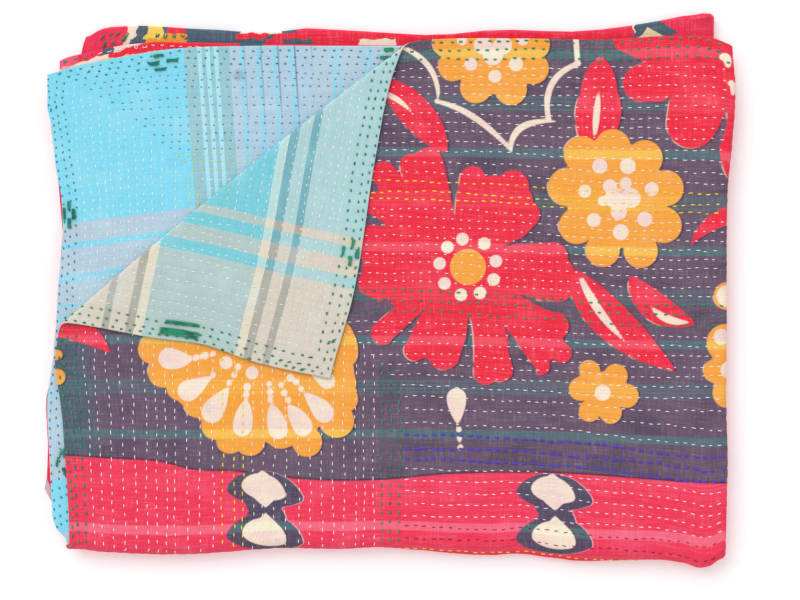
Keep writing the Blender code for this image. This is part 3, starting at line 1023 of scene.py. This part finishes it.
def lower_print(finish, warp, weft):
    """The print on the lower layers, where it shows past the layers above at the far side."""
    waver = (finish.noise(finish.value("laid_across") * 0.09, 0.0, detail=3.0) - 0.5) * 9
    waver = waver + (warp - 0.5) * 1.5
    drift = (finish.noise(finish.value("laid_down") * 0.13, finish.value("laid_across") * 0.04) - 0.5) * 9
    across = finish.value("laid_across") + (weft - 0.5) * 2 + drift
    down = finish.value("laid_down") + waver
    slanted = across - (finish.value("laid_down") - 20) * across.ramp(645, 655) * 1.4
    fold = finish.mix(
        finish.stripes(slanted, FAR_FOLD_OUTER),
        finish.stripes(across + down * 0.8 - 27, FAR_FOLD_MIDDLE),
        down.ramp(31.2, 32.0),
    )
    fold = finish.mix(fold, finish.stripes(across, FAR_FOLD_INNER), down.ramp(37.0, 37.8))
    below_tip = finish.value("laid_down") - 24.6
    tip = (across - 649.7 + below_tip * 0.9).ramp(0, 1.5) * (below_tip * 1.8 - across + 649.7).ramp(0, 1.5)
    fold = finish.mix(fold, tint(238, 218, 176), tip)
    slant = down + 0.3 * across
    hem = finish.mix(
        finish.stripes(across, FAR_HEM_OUTER), finish.stripes(across, FAR_HEM_INNER), slant.ramp(84.6, 85.6)
    )
    rim = (down + 0.153 * across).ramp(73.2, 74.2) * across.over(98) * (across * -1).over(-163)
    hem = finish.mix(hem, ORANGE_BAND, rim)
    return finish.mix(fold, hem, finish.value("hem_layer"))


def printed_cotton():
    """The printed face: plum ground, woven bands, and the print's reds, orange and cream."""
    finish = Finish("printed_cotton")
    across, along = finish.cloth_steps()
    warp, weft, thread = weave(finish, across, along)
    bleed = (warp - 0.5) * 1.1 + (weft - 0.5) * 1.1 + (thread - 0.5) * 0.8
    straight = along + finish.value("fall") * 0.65 + (warp - 0.5) * 1.2
    plain = abs((straight - FIRST_BAND).wrapped(-BAND_PERIOD / 2, BAND_PERIOD / 2))
    plain = (plain * -1).ramp(-5.6, -3.4)
    lined_place = (straight - FIRST_LINED_BAND).wrapped(-BAND_PERIOD / 2, BAND_PERIOD / 2)
    lined = (abs(lined_place) * -1).ramp(-9.5, -6.5)
    lines = abs((lined_place + (weft - 0.5) * 1.6).wrapped(-1.8, 1.8))
    lined = lined * (0.3 + 0.7 * lines.ramp(0.4, 1.3)) * weft.ramp(0.22, 0.5)
    lined = lined * (1.0 - 0.7 * along.ramp(420, 430))
    wash = finish.noise(across * 0.02, along * 0.028, detail=3.0)
    streaks = finish.noise(across * 0.012, along * 0.5, detail=2.0).ramp(0.55, 0.7)
    band = plain.larger(lined * 0.9)
    band_on_colour = plain.larger(lined * 0.55).larger(streaks * 0.35)

    slub = finish.noise(across * 0.85, along * 0.07, detail=2.0, roughness=0.7).ramp(0.58, 0.68)
    slub = slub * finish.noise(across * 0.035, along * 0.05, detail=2.0).ramp(0.42, 0.62)
    hem_zone = (across * -1).ramp(-42, -24)
    ground = finish.mix(PLUM, PLUM_DEEP, wash.ramp(0.42, 0.7) * 0.75)
    ground = finish.mix(ground, SLATE, hem_zone * 0.85)
    ground = finish.mix(ground, BAND_SLATE, band * 0.85)
    ground = finish.mix(ground, PLUM_WARM, slub * 0.5)

    def worn(colour, faded, banded):
        aged = finish.mix(colour, faded, (warp.ramp(0.5, 0.72) * 0.5).larger(wash.ramp(0.48, 0.75) * 0.5))
        return finish.mix(aged, banded, band_on_colour * 0.6)

    def inside(name, softness=0.7):
        return (finish.value(name) + bleed * 0.6).ramp(-softness, softness)

    patchy = finish.noise(across * 0.05, along * 0.05, detail=1.0).ramp(0.5, 0.62)
    border = worn(BORDER_RED, BORDER_WORN, tint(253, 126, 152))
    colour = finish.mix(ground, tint(66, 46, 72), inside("dark_edge") * 0.7)
    colour = finish.mix(colour, tint(240, 200, 180), inside("pale_edge", 0.5) * patchy * 0.8)
    colour = finish.mix(colour, border, inside("border"))
    edge_line = (abs(finish.value("border") + 1.0) * -1).ramp(-1.6, -0.5)
    colour = finish.mix(colour, tint(96, 34, 62), edge_line * 0.7)
    colour = finish.mix(colour, tint(252, 196, 206), inside("dark_rim", 0.5) * 0.8)
    colour = finish.mix(colour, finish.mix(tint(88, 76, 100), BAND_SLATE, band * 0.8), inside("dark"))
    colour = finish.mix(colour, worn(RED, RED_WORN, RED_BAND), inside("red"))
    colour = finish.mix(colour, worn(ORANGE, ORANGE_WORN, ORANGE_BAND), inside("orange"))
    cream = finish.mix(CREAM, CREAM_PINK, wash.ramp(0.42, 0.6) * 0.6)
    cream = finish.mix(cream, CREAM_BAND, band * 0.8)
    colour = finish.mix(colour, cream, inside("cream"))
    colour = finish.mix(colour, lower_print(finish, warp, weft), finish.value("lower"))
    return finish_cotton(
        finish, colour, (warp, weft, thread), Grain(tint(40, 24, 48), 0.42), Grain(tint(255, 236, 240), 0.34)
    )


CYAN = tint(134, 223, 247)
PINK_GREY = tint(222, 194, 204)
BEIGE = tint(220, 211, 195)
STRIPE_GREY = tint(124, 130, 128)
STRIPE_CREAM = tint(240, 234, 208)
WEFT_AQUA = tint(130, 199, 210)
SIDE_CYAN = tint(116, 218, 236)

CORNER_FROM_SIDE = (
    (0, BEIGE), (91, SIDE_CYAN), (102.5, BEIGE), (119, SIDE_CYAN), (132, BEIGE), (141, SIDE_CYAN),
    (330, BEIGE),
)
CORNER_FROM_END = (
    (0, BEIGE), (59.5, STRIPE_GREY), (67, BEIGE), (78.5, STRIPE_GREY), (87, STRIPE_CREAM), (95.5, WEFT_AQUA),
    (191, STRIPE_CREAM), (200, STRIPE_GREY), (208, BEIGE), (225, STRIPE_GREY), (232, BEIGE),
)
GREY_BLUE = tint(172, 180, 172)
PALE_CYAN = tint(205, 246, 250)
LILAC = tint(222, 198, 218)
SOFT_LILAC = tint(214, 196, 212)
SECOND_FROM_SIDE = (
    (0, CYAN), (124, GREY_BLUE), (136.5, PALE_CYAN), (140.5, GREY_BLUE), (144.5, PALE_CYAN),
    (148.5, GREY_BLUE), (152.5, PALE_CYAN), (156.5, GREY_BLUE), (168, LILAC), (176, SOFT_LILAC),
    (178.5, CYAN), (181, SOFT_LILAC), (195.5, CYAN), (198, SOFT_LILAC), (211.5, CYAN), (214, SOFT_LILAC),
    (228.5, CYAN), (231, SOFT_LILAC), (246, PINK_GREY), (270, CYAN), (272, PINK_GREY), (276, CYAN),
    (278, PINK_GREY), (302, CYAN), (304, PINK_GREY), (308, CYAN), (310, PINK_GREY),
)
SECOND_FROM_END = (
    (0, CYAN), (173, PINK_GREY), (193, CYAN), (198.5, PINK_GREY), (225, CYAN), (228, PINK_GREY),
    (230, CYAN), (232.5, PINK_GREY), (255, CYAN), (257, PINK_GREY), (266, CYAN), (268, PINK_GREY),
    (343, CYAN), (345, PINK_GREY), (373, CYAN), (375, PINK_GREY), (429, CYAN), (483, PINK_GREY),
)


# The first of the creases that run in from the second layer's far hem, 17 steps apart, where painted shade
# darkens the checks
FIRST_CREASE = 182.5


def checked_cotton():
    """The checked back: stripes both ways, each crossing the other half and half, with painted shade along the
    second layer's creases.
    """
    finish = Finish("checked_cotton")
    across, along = finish.cloth_steps()
    warp, weft, thread = weave(finish, across, along)
    total = FLAT_SIZE[1] / STEP
    from_far = total - along
    wander = (weft - 0.5) * 1.2
    lean = (across * -1).ramp(-150, 0) * 4.5
    corner = finish.mix(
        finish.stripes(across + wander, CORNER_FROM_SIDE),
        finish.stripes(along - lean + wander, CORNER_FROM_END),
        0.5,
    )
    second = finish.mix(
        finish.stripes(across - 0.0625 * (from_far - 17) + wander, SECOND_FROM_SIDE),
        finish.stripes(from_far + 0.13 * (across - 60) + wander, SECOND_FROM_END),
        0.5,
    )
    colour = finish.mix(corner, second, along.ramp(total / 2 - 1, total / 2 + 1))
    wash = finish.noise(across * 0.02, along * 0.025, detail=3.0)
    colour = finish.mix(colour, tint(205, 240, 248), wash.ramp(0.45, 0.8) * 0.3)
    # Painted shade: thin darker lines along the creases stand in for the shade that falls in their folds
    crease_shade = abs((across - 0.0625 * (from_far - 17) + wander - FIRST_CREASE).wrapped(-8.5, 8.5))
    crease_shade = (crease_shade * -1).ramp(-1.3, -0.3) * (across * -1).ramp(-252, -246) * across.ramp(170, 178)
    crease_shade = crease_shade * (from_far * -1).ramp(-105, -30) * across.ramp(130, 260)
    colour = finish.mix(colour, tint(70, 104, 140), crease_shade * along.over(total / 2) * 0.75)
    stain = ((across - 176) * (across - 176) + (from_far - 30) * (from_far - 30)) * -1
    colour = finish.mix(colour, tint(120, 125, 140), stain.ramp(-60, 0) * 0.4)
    return finish_cotton(
        finish, colour, (warp, weft, thread), Grain(tint(84, 110, 122), 0.36), Grain(tint(255, 255, 250), 0.36)
    )


def sewing_cotton(name, colour, shade):
    """Twisted sewing thread in one colour, a little uneven."""
    finish = Finish(name)
    place = finish.node("ShaderNodeTexCoord", {}, {}, "Object")
    patch = finish.node("ShaderNodeTexNoise", {}, {"Vector": place, "Scale": 55.0, "Detail": 2.0})
    twist = finish.node("ShaderNodeTexNoise", {}, {"Vector": place, "Scale": 2200.0, "Detail": 1.0})
    finish.give(
        base_color=finish.mix(colour, shade, patch.ramp(0.48, 0.6)),
        roughness=0.75 + 0.15 * twist, normal=finish.bump(twist, 0.4, 0.0002),
        sheen_weight=0.05, specular_ior_level=0.2,
    )
    return finish.material


# Stitches

Thread = namedtuple("Thread", "pitch face back radius colour shade")
THREADS = {
    "white": Thread(8.7, 3.6, 2.9, 0.00048, tint(255, 255, 253), tint(252, 244, 242)),
    "green": Thread(9.4, 3.3, 2.4, 0.0011, tint(50, 152, 112), tint(42, 124, 98)),
    "sea green": Thread(9.0, 3.2, 2.0, 0.0008, tint(66, 138, 132), tint(78, 116, 124)),
    "yellow": Thread(8.6, 3.7, 2.2, 0.00072, tint(255, 236, 60), tint(240, 212, 48)),
    "blue": Thread(9.0, 5.2, 2.2, 0.0013, tint(84, 72, 215), tint(94, 66, 190)),
    "maroon": Thread(8.4, 3.4, 1.8, 0.00052, tint(84, 108, 124), tint(196, 56, 108)),
    "dark red": Thread(8.8, 4.0, 2.0, 0.0005, tint(150, 22, 46), tint(120, 30, 50)),
}
STITCH_SHAPE = ((0.0, -0.00032), (0.16, 0.0003), (0.84, 0.0003), (1.0, -0.00032))
WOBBLE = 0.8
SMALL_ON_RED = 0.66
CORNER_REACHES = 0.36
# Rows that show on the lower layers at the far side, from and to a step across the chart
LowerRow = namedtuple("LowerRow", "thread first last along")
LOWER_ROWS = (
    LowerRow("green", 86, 126, FAR_FOLD - 0.004), LowerRow("green", 90, 124, FAR_FOLD - 0.012),
    LowerRow("green", 150, 190, FAR_FOLD - 0.004), LowerRow("green", 66, 98, SECOND_END - 4 * STEP),
    LowerRow("white", 100, 235, SECOND_END - 3.5 * STEP),
)


def row_runs(rows_side, rows_end, end_at, way, panel):
    """Each row's thread, its start and end on the flat sheet, and whether it falls with the weave."""
    for rows in rows_side:
        for distance in rows.distances:
            x = LEFT_HEM + distance * STEP
            yield rows.thread, (x, end_at + way * distance * STEP), (x, panel)
    for rows in rows_end:
        for distance in rows.distances:
            y = end_at + way * distance * STEP
            start = LEFT_HEM + min(distance, FIELD) * STEP
            yield rows.thread, (start, y), (RIGHT_FOLD + SIDE_TURN * 0.45, y)


def sew_row(thread, start, stop, side, chance):
    """The stitches that one row shows on one side, as points of the flat quilt: stitch, point, place."""
    start, stop = np.array(start), np.array(stop)
    length = np.linalg.norm(stop - start) / STEP
    way = (stop - start) / np.linalg.norm(stop - start)
    across = np.array((-way[1], way[0]))
    kind = THREADS[thread]
    count = int(length / kind.pitch)
    if count < 1:
        return np.zeros((0, len(STITCH_SHAPE), 3))
    long = kind.face if side == PRINT_SIDE else kind.back
    begin = (np.arange(count) + (0.0 if side == PRINT_SIDE else 0.55)) * kind.pitch
    begin = begin + chance.uniform(-0.9, 0.9, count)
    size = long * chance.uniform(0.72, 1.22, count)
    drift = chance.uniform(0, 6.3)
    sway = WOBBLE * np.sin(begin * 0.045 + drift) + 0.45 * np.sin(begin * 0.19 + 2 * drift)
    sway = sway + chance.normal(0, 0.22, count)
    tilt = chance.normal(0, 0.07, count)
    shape = np.array(STITCH_SHAPE)
    run = begin[:, None] + size[:, None] * shape[None, :, 0]
    off = sway[:, None] + tilt[:, None] * size[:, None] * (shape[None, :, 0] - 0.5)
    flat = start + (run[..., None] * way + off[..., None] * across) * STEP
    x, y = flat[..., 0].ravel(), flat[..., 1].ravel()
    if abs(way[0]) > 0.5 and start[1] < NEAR_FOLD:
        y = y + fall(np.column_stack((x, y))) * STEP
    lift = np.tile(shape[:, 1], count)
    points = on_cloth(x, y, side, lift)
    return points.reshape(count, len(shape), 3)


# How far past the slanting fold the stitches of each side show, and how near the left hem they always do
SECOND_SHOWS_FROM = 0.004
CHECKS_SHOW_FROM = 0.001
PRINT_SHOWS_TO = 0.002
HEM_SHOWS_TO = 0.006


def show_through(points, side, second):
    """Which stitches show: those of the top, the turned corner, and what it uncovers of the layer below."""
    middle = points[:, 1]
    laid = fold_in_three(middle.copy())
    start, _, across = corner_frame()
    beyond = (laid[:, :2] - start) @ across
    if second:
        return (beyond > SECOND_SHOWS_FROM) | (laid[:, 0] < LEFT_HEM + HEM_SHOWS_TO)
    if side == CHECK_SIDE:
        return beyond > CHECKS_SHOW_FROM
    return beyond < PRINT_SHOWS_TO


def drawn_in_on_red(points):
    """White stitches are drawn in where they cross the red flowers and leaves."""
    small = inside_red(*on_chart(fold_in_three(points[:, 1].copy()))) > 0
    middle = points.mean(axis=1, keepdims=True)
    return np.where(small[:, None, None], middle + (points - middle) * SMALL_ON_RED, points)


def sew_all():
    """Every stitch that shows, by thread: print side and check side."""
    chance = np.random.default_rng(28)
    ends = (
        (False, PRINT_SIDE, TOP_SIDE_ROWS, TOP_END_ROWS, TOP_END, 1, TOP_SHOWS_TO),
        (False, CHECK_SIDE, TOP_SIDE_ROWS, TOP_END_ROWS, TOP_END, 1, TOP_END + CORNER_REACHES),
        (True, CHECK_SIDE, SECOND_SIDE_ROWS, SECOND_END_ROWS, SECOND_END, -1, SECOND_PANEL),
    )
    sewn = {}
    for second, side, rows_side, rows_end, end_at, way, panel in ends:
        for thread, start, stop in row_runs(rows_side, rows_end, end_at, way, panel):
            points = sew_row(thread, start, stop, side, chance)
            points = points[show_through(points, side, second)] if len(points) else points
            if thread == "white" and side == PRINT_SIDE and len(points):
                points = drawn_in_on_red(points)
            face = "print" if side == PRINT_SIDE else "check"
            sewn.setdefault((face, thread), []).append(points)
    for row in LOWER_ROWS:
        ends = [2 * RIGHT_FOLD + SIDE_TURN - (place - CHART_ACROSS) * STEP for place in (row.first, row.last)]
        points = sew_row(row.thread, (ends[0], row.along), (ends[1], row.along), PRINT_SIDE, chance)
        sewn["print", row.thread].append(points)
    sewn = {key: np.concatenate(parts) for key, parts in sewn.items()}
    return {key: points for key, points in sewn.items() if len(points)}


# Tacks of thick green thread at the hems: which layer, steps from the left and far hems, and the run
Tack = namedtuple("Tack", "layer side end run_side run_end strands")
TACKS = (
    Tack(2, 94, 6, 10, 0, 3), Tack(2, 106.5, 12.5, 11, 0, 3), Tack(2, 89.5, 14, 10, 0, 4),
    Tack(2, 95.5, 21, 10, 0, 3),
    Tack(2, 6.4, 157, 0, 10, 3), Tack(2, 1.9, 163.5, 0, 13, 2), Tack(2, 10.9, 165, 0, 11, 3),
    Tack(2, 6.6, 174.5, 0, 10.5, 3),
    Tack(2, 10.5, 405, 0, 10, 3), Tack(2, 6.4, 414, 0, 10, 2), Tack(2, 12.4, 424.5, 0, 8, 3),
    Tack(2, 322, 4, 10, 0, 3), Tack(2, 318, 12, 9, 0, 3),
    Tack(1, 121.5, 17, 9.5, 0, 3), Tack(1, 130, 9, 9.5, 0, 3), Tack(1, 121, 3.5, 9.5, 0, 3),
    Tack(1, 112.5, 9, 10, 0, 3),
    Tack(1, 18.5, 140, 0, 35, 3), Tack(1, 9, 139, 0, 40, 6),
)
TACK_SPREAD = 1.12
TACK_RADIUS = 0.00088
TACK_RISE = 0.0012
TACK_LIFT = 0.0003
TACK_MARKS = (0, 0.07, 0.35, 0.65, 0.93, 1)


def tack_points():
    """The strands of the tacks as points of the flat quilt."""
    strands = []
    for tack in TACKS:
        end_at, way = (TOP_END, 1) if tack.layer == 1 else (SECOND_END, -1)
        for strand in range(tack.strands):
            off = (strand - (tack.strands - 1) / 2) * TACK_SPREAD
            run = np.array(TACK_MARKS)
            side = tack.side + run * tack.run_side + off * (tack.run_end > 0)
            end = tack.end + run * tack.run_end + off * (tack.run_side > 0)
            points = on_cloth(LEFT_HEM + side * STEP, end_at + way * end * STEP, CHECK_SIDE, TACK_LIFT)
            strands.append(points)
    return np.array(strands)


def thread_nodes():
    """Geometry nodes that wrap each stitch's line in round thread, its ends drawn in."""
    tree = bpy.data.node_groups.new("wrap_thread", "GeometryNodeTree")
    sockets = {}
    kinds = (("Stitches", "Geometry"), ("Radius", "Float"), ("Sides", "Int"), ("Finish", "Material"))
    for name, kind in kinds:
        made = tree.interface.new_socket(name, in_out="INPUT", socket_type="NodeSocket" + kind)
        sockets[name] = made.identifier
    tree.interface.new_socket("Thread", in_out="OUTPUT", socket_type="NodeSocketGeometry")

    def add(kind, links=(), **settings):
        made = tree.nodes.new(kind)
        for name, value in settings.items():
            setattr(made, name, value)
        for socket, source in links:
            tree.links.new(source, made.inputs[socket])
        return made

    given = add("NodeGroupInput").outputs
    lines = add("GeometryNodeMeshToCurve", ((0, given["Stitches"]),))
    taper = add("GeometryNodeInputNamedAttribute", data_type="FLOAT")
    taper.inputs["Name"].default_value = "taper"
    sizes = (("Resolution", given["Sides"]), ("Radius", given["Radius"]))
    ring = add("GeometryNodeCurvePrimitiveCircle", sizes)
    sized = add("GeometryNodeSetCurveRadius", (("Curve", lines.outputs[0]), ("Radius", taper.outputs[0])))
    tube = add("GeometryNodeCurveToMesh", (("Curve", sized.outputs[0]), ("Profile Curve", ring.outputs[0])))
    tube.inputs["Fill Caps"].default_value = True
    if "Scale" in tube.inputs:
        tree.links.new(taper.outputs[0], tube.inputs["Scale"])
    real = add("GeometryNodeRealizeInstances", ((0, tube.outputs[0]),))
    dyed = add("GeometryNodeSetMaterial", (("Geometry", real.outputs[0]), ("Material", given["Finish"])))
    add("NodeGroupOutput", ((0, dyed.outputs[0]),))
    return tree, sockets


STITCH_TAPER = (0.62, 1.0, 1.0, 0.62)
TACK_TAPER = (0.3, 0.9, 1.0, 1.0, 0.9, 0.3)
THREAD_SIDES = 5


def wrap_stitches(name, points, radius, material, nodes, taper=STITCH_TAPER, rise=0.0):
    """Makes one plain mesh of thread from stitches given as points of the flat quilt."""
    tree, sockets = nodes
    count, marks = points.shape[:2]
    placed = fold_all(points.reshape(-1, 3))
    placed[:, 2] += rise
    first = (np.arange(count)[:, None] * marks + np.arange(marks - 1)).ravel()
    mesh = bpy.data.meshes.new(name + "_lines")
    mesh.from_pydata(placed.tolist(), np.column_stack((first, first + 1)).tolist(), [])
    add_value(mesh, "taper", np.tile(taper, count))
    thing = bpy.data.objects.new(name, mesh)
    bpy.context.scene.collection.objects.link(thing)
    maker = thing.modifiers.new("Thread", "NODES")
    maker.node_group = tree
    maker[sockets["Radius"]] = radius
    maker[sockets["Sides"]] = THREAD_SIDES
    maker[sockets["Finish"]] = material
    graph = bpy.context.evaluated_depsgraph_get()
    plain = bpy.data.meshes.new_from_object(thing.evaluated_get(graph))
    thing.modifiers.clear()
    thing.data = plain
    bpy.data.meshes.remove(mesh)
    plain.name = name
    plain.shade_smooth()
    return thing


FLOOR_REACH = 4.0
# The camera sees this many steps of the chart across, at the height of the pile's top
VIEW_WIDE = 800
LOOKED_AT = 0.03
SENSOR_WIDTH = 36
CAMERA_HEIGHT = 2.6


def studio():
    """A pale floor, soft light from the far left, and the camera straight above."""
    mesh = bpy.data.meshes.new("floor")
    corners = [(x * FLOOR_REACH, y * FLOOR_REACH, 0) for x, y in ((-1, -1), (1, -1), (1, 1), (-1, 1))]
    mesh.from_pydata(corners, [], [(0, 1, 2, 3)])
    floor = bpy.data.objects.new("floor", mesh)
    bpy.context.scene.collection.objects.link(floor)
    finish = Finish("floor_paper")
    finish.give(
        base_color=tint(251, 251, 252), roughness=0.95, specular_ior_level=0.0,
        emission_color=tint(255, 255, 255), emission_strength=0.12,
    )
    mesh.materials.append(finish.material)

    world = bpy.data.worlds.new("studio")
    world.use_nodes = True
    world.node_tree.nodes["Background"].inputs["Color"].default_value = (1.0, 1.0, 1.0, 1.0)
    world.node_tree.nodes["Background"].inputs["Strength"].default_value = 0.76
    bpy.context.scene.world = world
    lamp = bpy.data.lights.new("window", "SUN")
    lamp.energy = 1.25
    lamp.angle = np.radians(48)
    sun = bpy.data.objects.new("window", lamp)
    sun.rotation_euler = (np.radians(-38), np.radians(-34), 0)
    bpy.context.scene.collection.objects.link(sun)

    camera = bpy.data.cameras.new("camera")
    camera.sensor_width = SENSOR_WIDTH
    camera.lens = SENSOR_WIDTH * (CAMERA_HEIGHT - LOOKED_AT) / (VIEW_WIDE * STEP)
    eye = bpy.data.objects.new("camera", camera)
    middle = (VIEW_WIDE / 2 - CHART_ACROSS) * STEP
    eye.location = (middle - LAYOUT_MIDDLE[0], -LAYOUT_MIDDLE[1], CAMERA_HEIGHT)
    bpy.context.scene.collection.objects.link(eye)
    bpy.context.scene.camera = eye
    bpy.context.scene.view_settings.view_transform = "Standard"


# How much of the baked picture each run of the flat sheet gets
PRINT_BAKE = (
    ((LEFT_HEM, 0.005), (RIGHT_FOLD + 0.01, 0.93), (RIGHT_HEM, 0.995)),
    ((TOP_END, 0.005), (NEAR_FOLD, 0.84), (SECOND_END, 0.995)),
)
CHECK_BAKE = (
    ((LEFT_HEM, 0.005), (CHECKS_SHOW_TO, 0.88), (RIGHT_HEM, 0.995)),
    ((TOP_END, 0.005), (TOP_END + CHECKS_SHOW_DOWN, 0.42), (SECOND_PANEL, 0.5), (SECOND_END, 0.995)),
)


def make_throw():
    printed, flat = weave_cloth("printed_cloth", print_lines(), PRINT_SIDE, PRINT_BAKE)
    print_pattern(printed, flat)
    printed.data.materials.append(printed_cotton())
    checked, flat = weave_cloth("checked_cloth", check_lines(), CHECK_SIDE, CHECK_BAKE)
    checked.data.materials.append(checked_cotton())

    nodes = thread_nodes()
    finishes = {
        name: sewing_cotton(name.replace(" ", "_") + "_thread", kind.colour, kind.shade)
        for name, kind in THREADS.items()
    }
    sewing = {"print": [], "check": []}
    for (face, thread), points in sew_all().items():
        name = f"{face}_{thread.replace(' ', '_')}_stitches"
        radius = THREADS[thread].radius
        sewing[face].append(wrap_stitches(name, points, radius, finishes[thread], nodes))
    sewing["check"].append(wrap_stitches(
        "green_tacks", tack_points(), TACK_RADIUS, finishes["green"], nodes, TACK_TAPER, TACK_RISE
    ))

    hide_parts("printed_face")
    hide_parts("checked_back")
    for cloth, stitches in ((printed, sewing["print"]), (checked, sewing["check"])):
        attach(cloth, "root")
        for piece in stitches:
            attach(piece, "root")


studio()
make_throw()
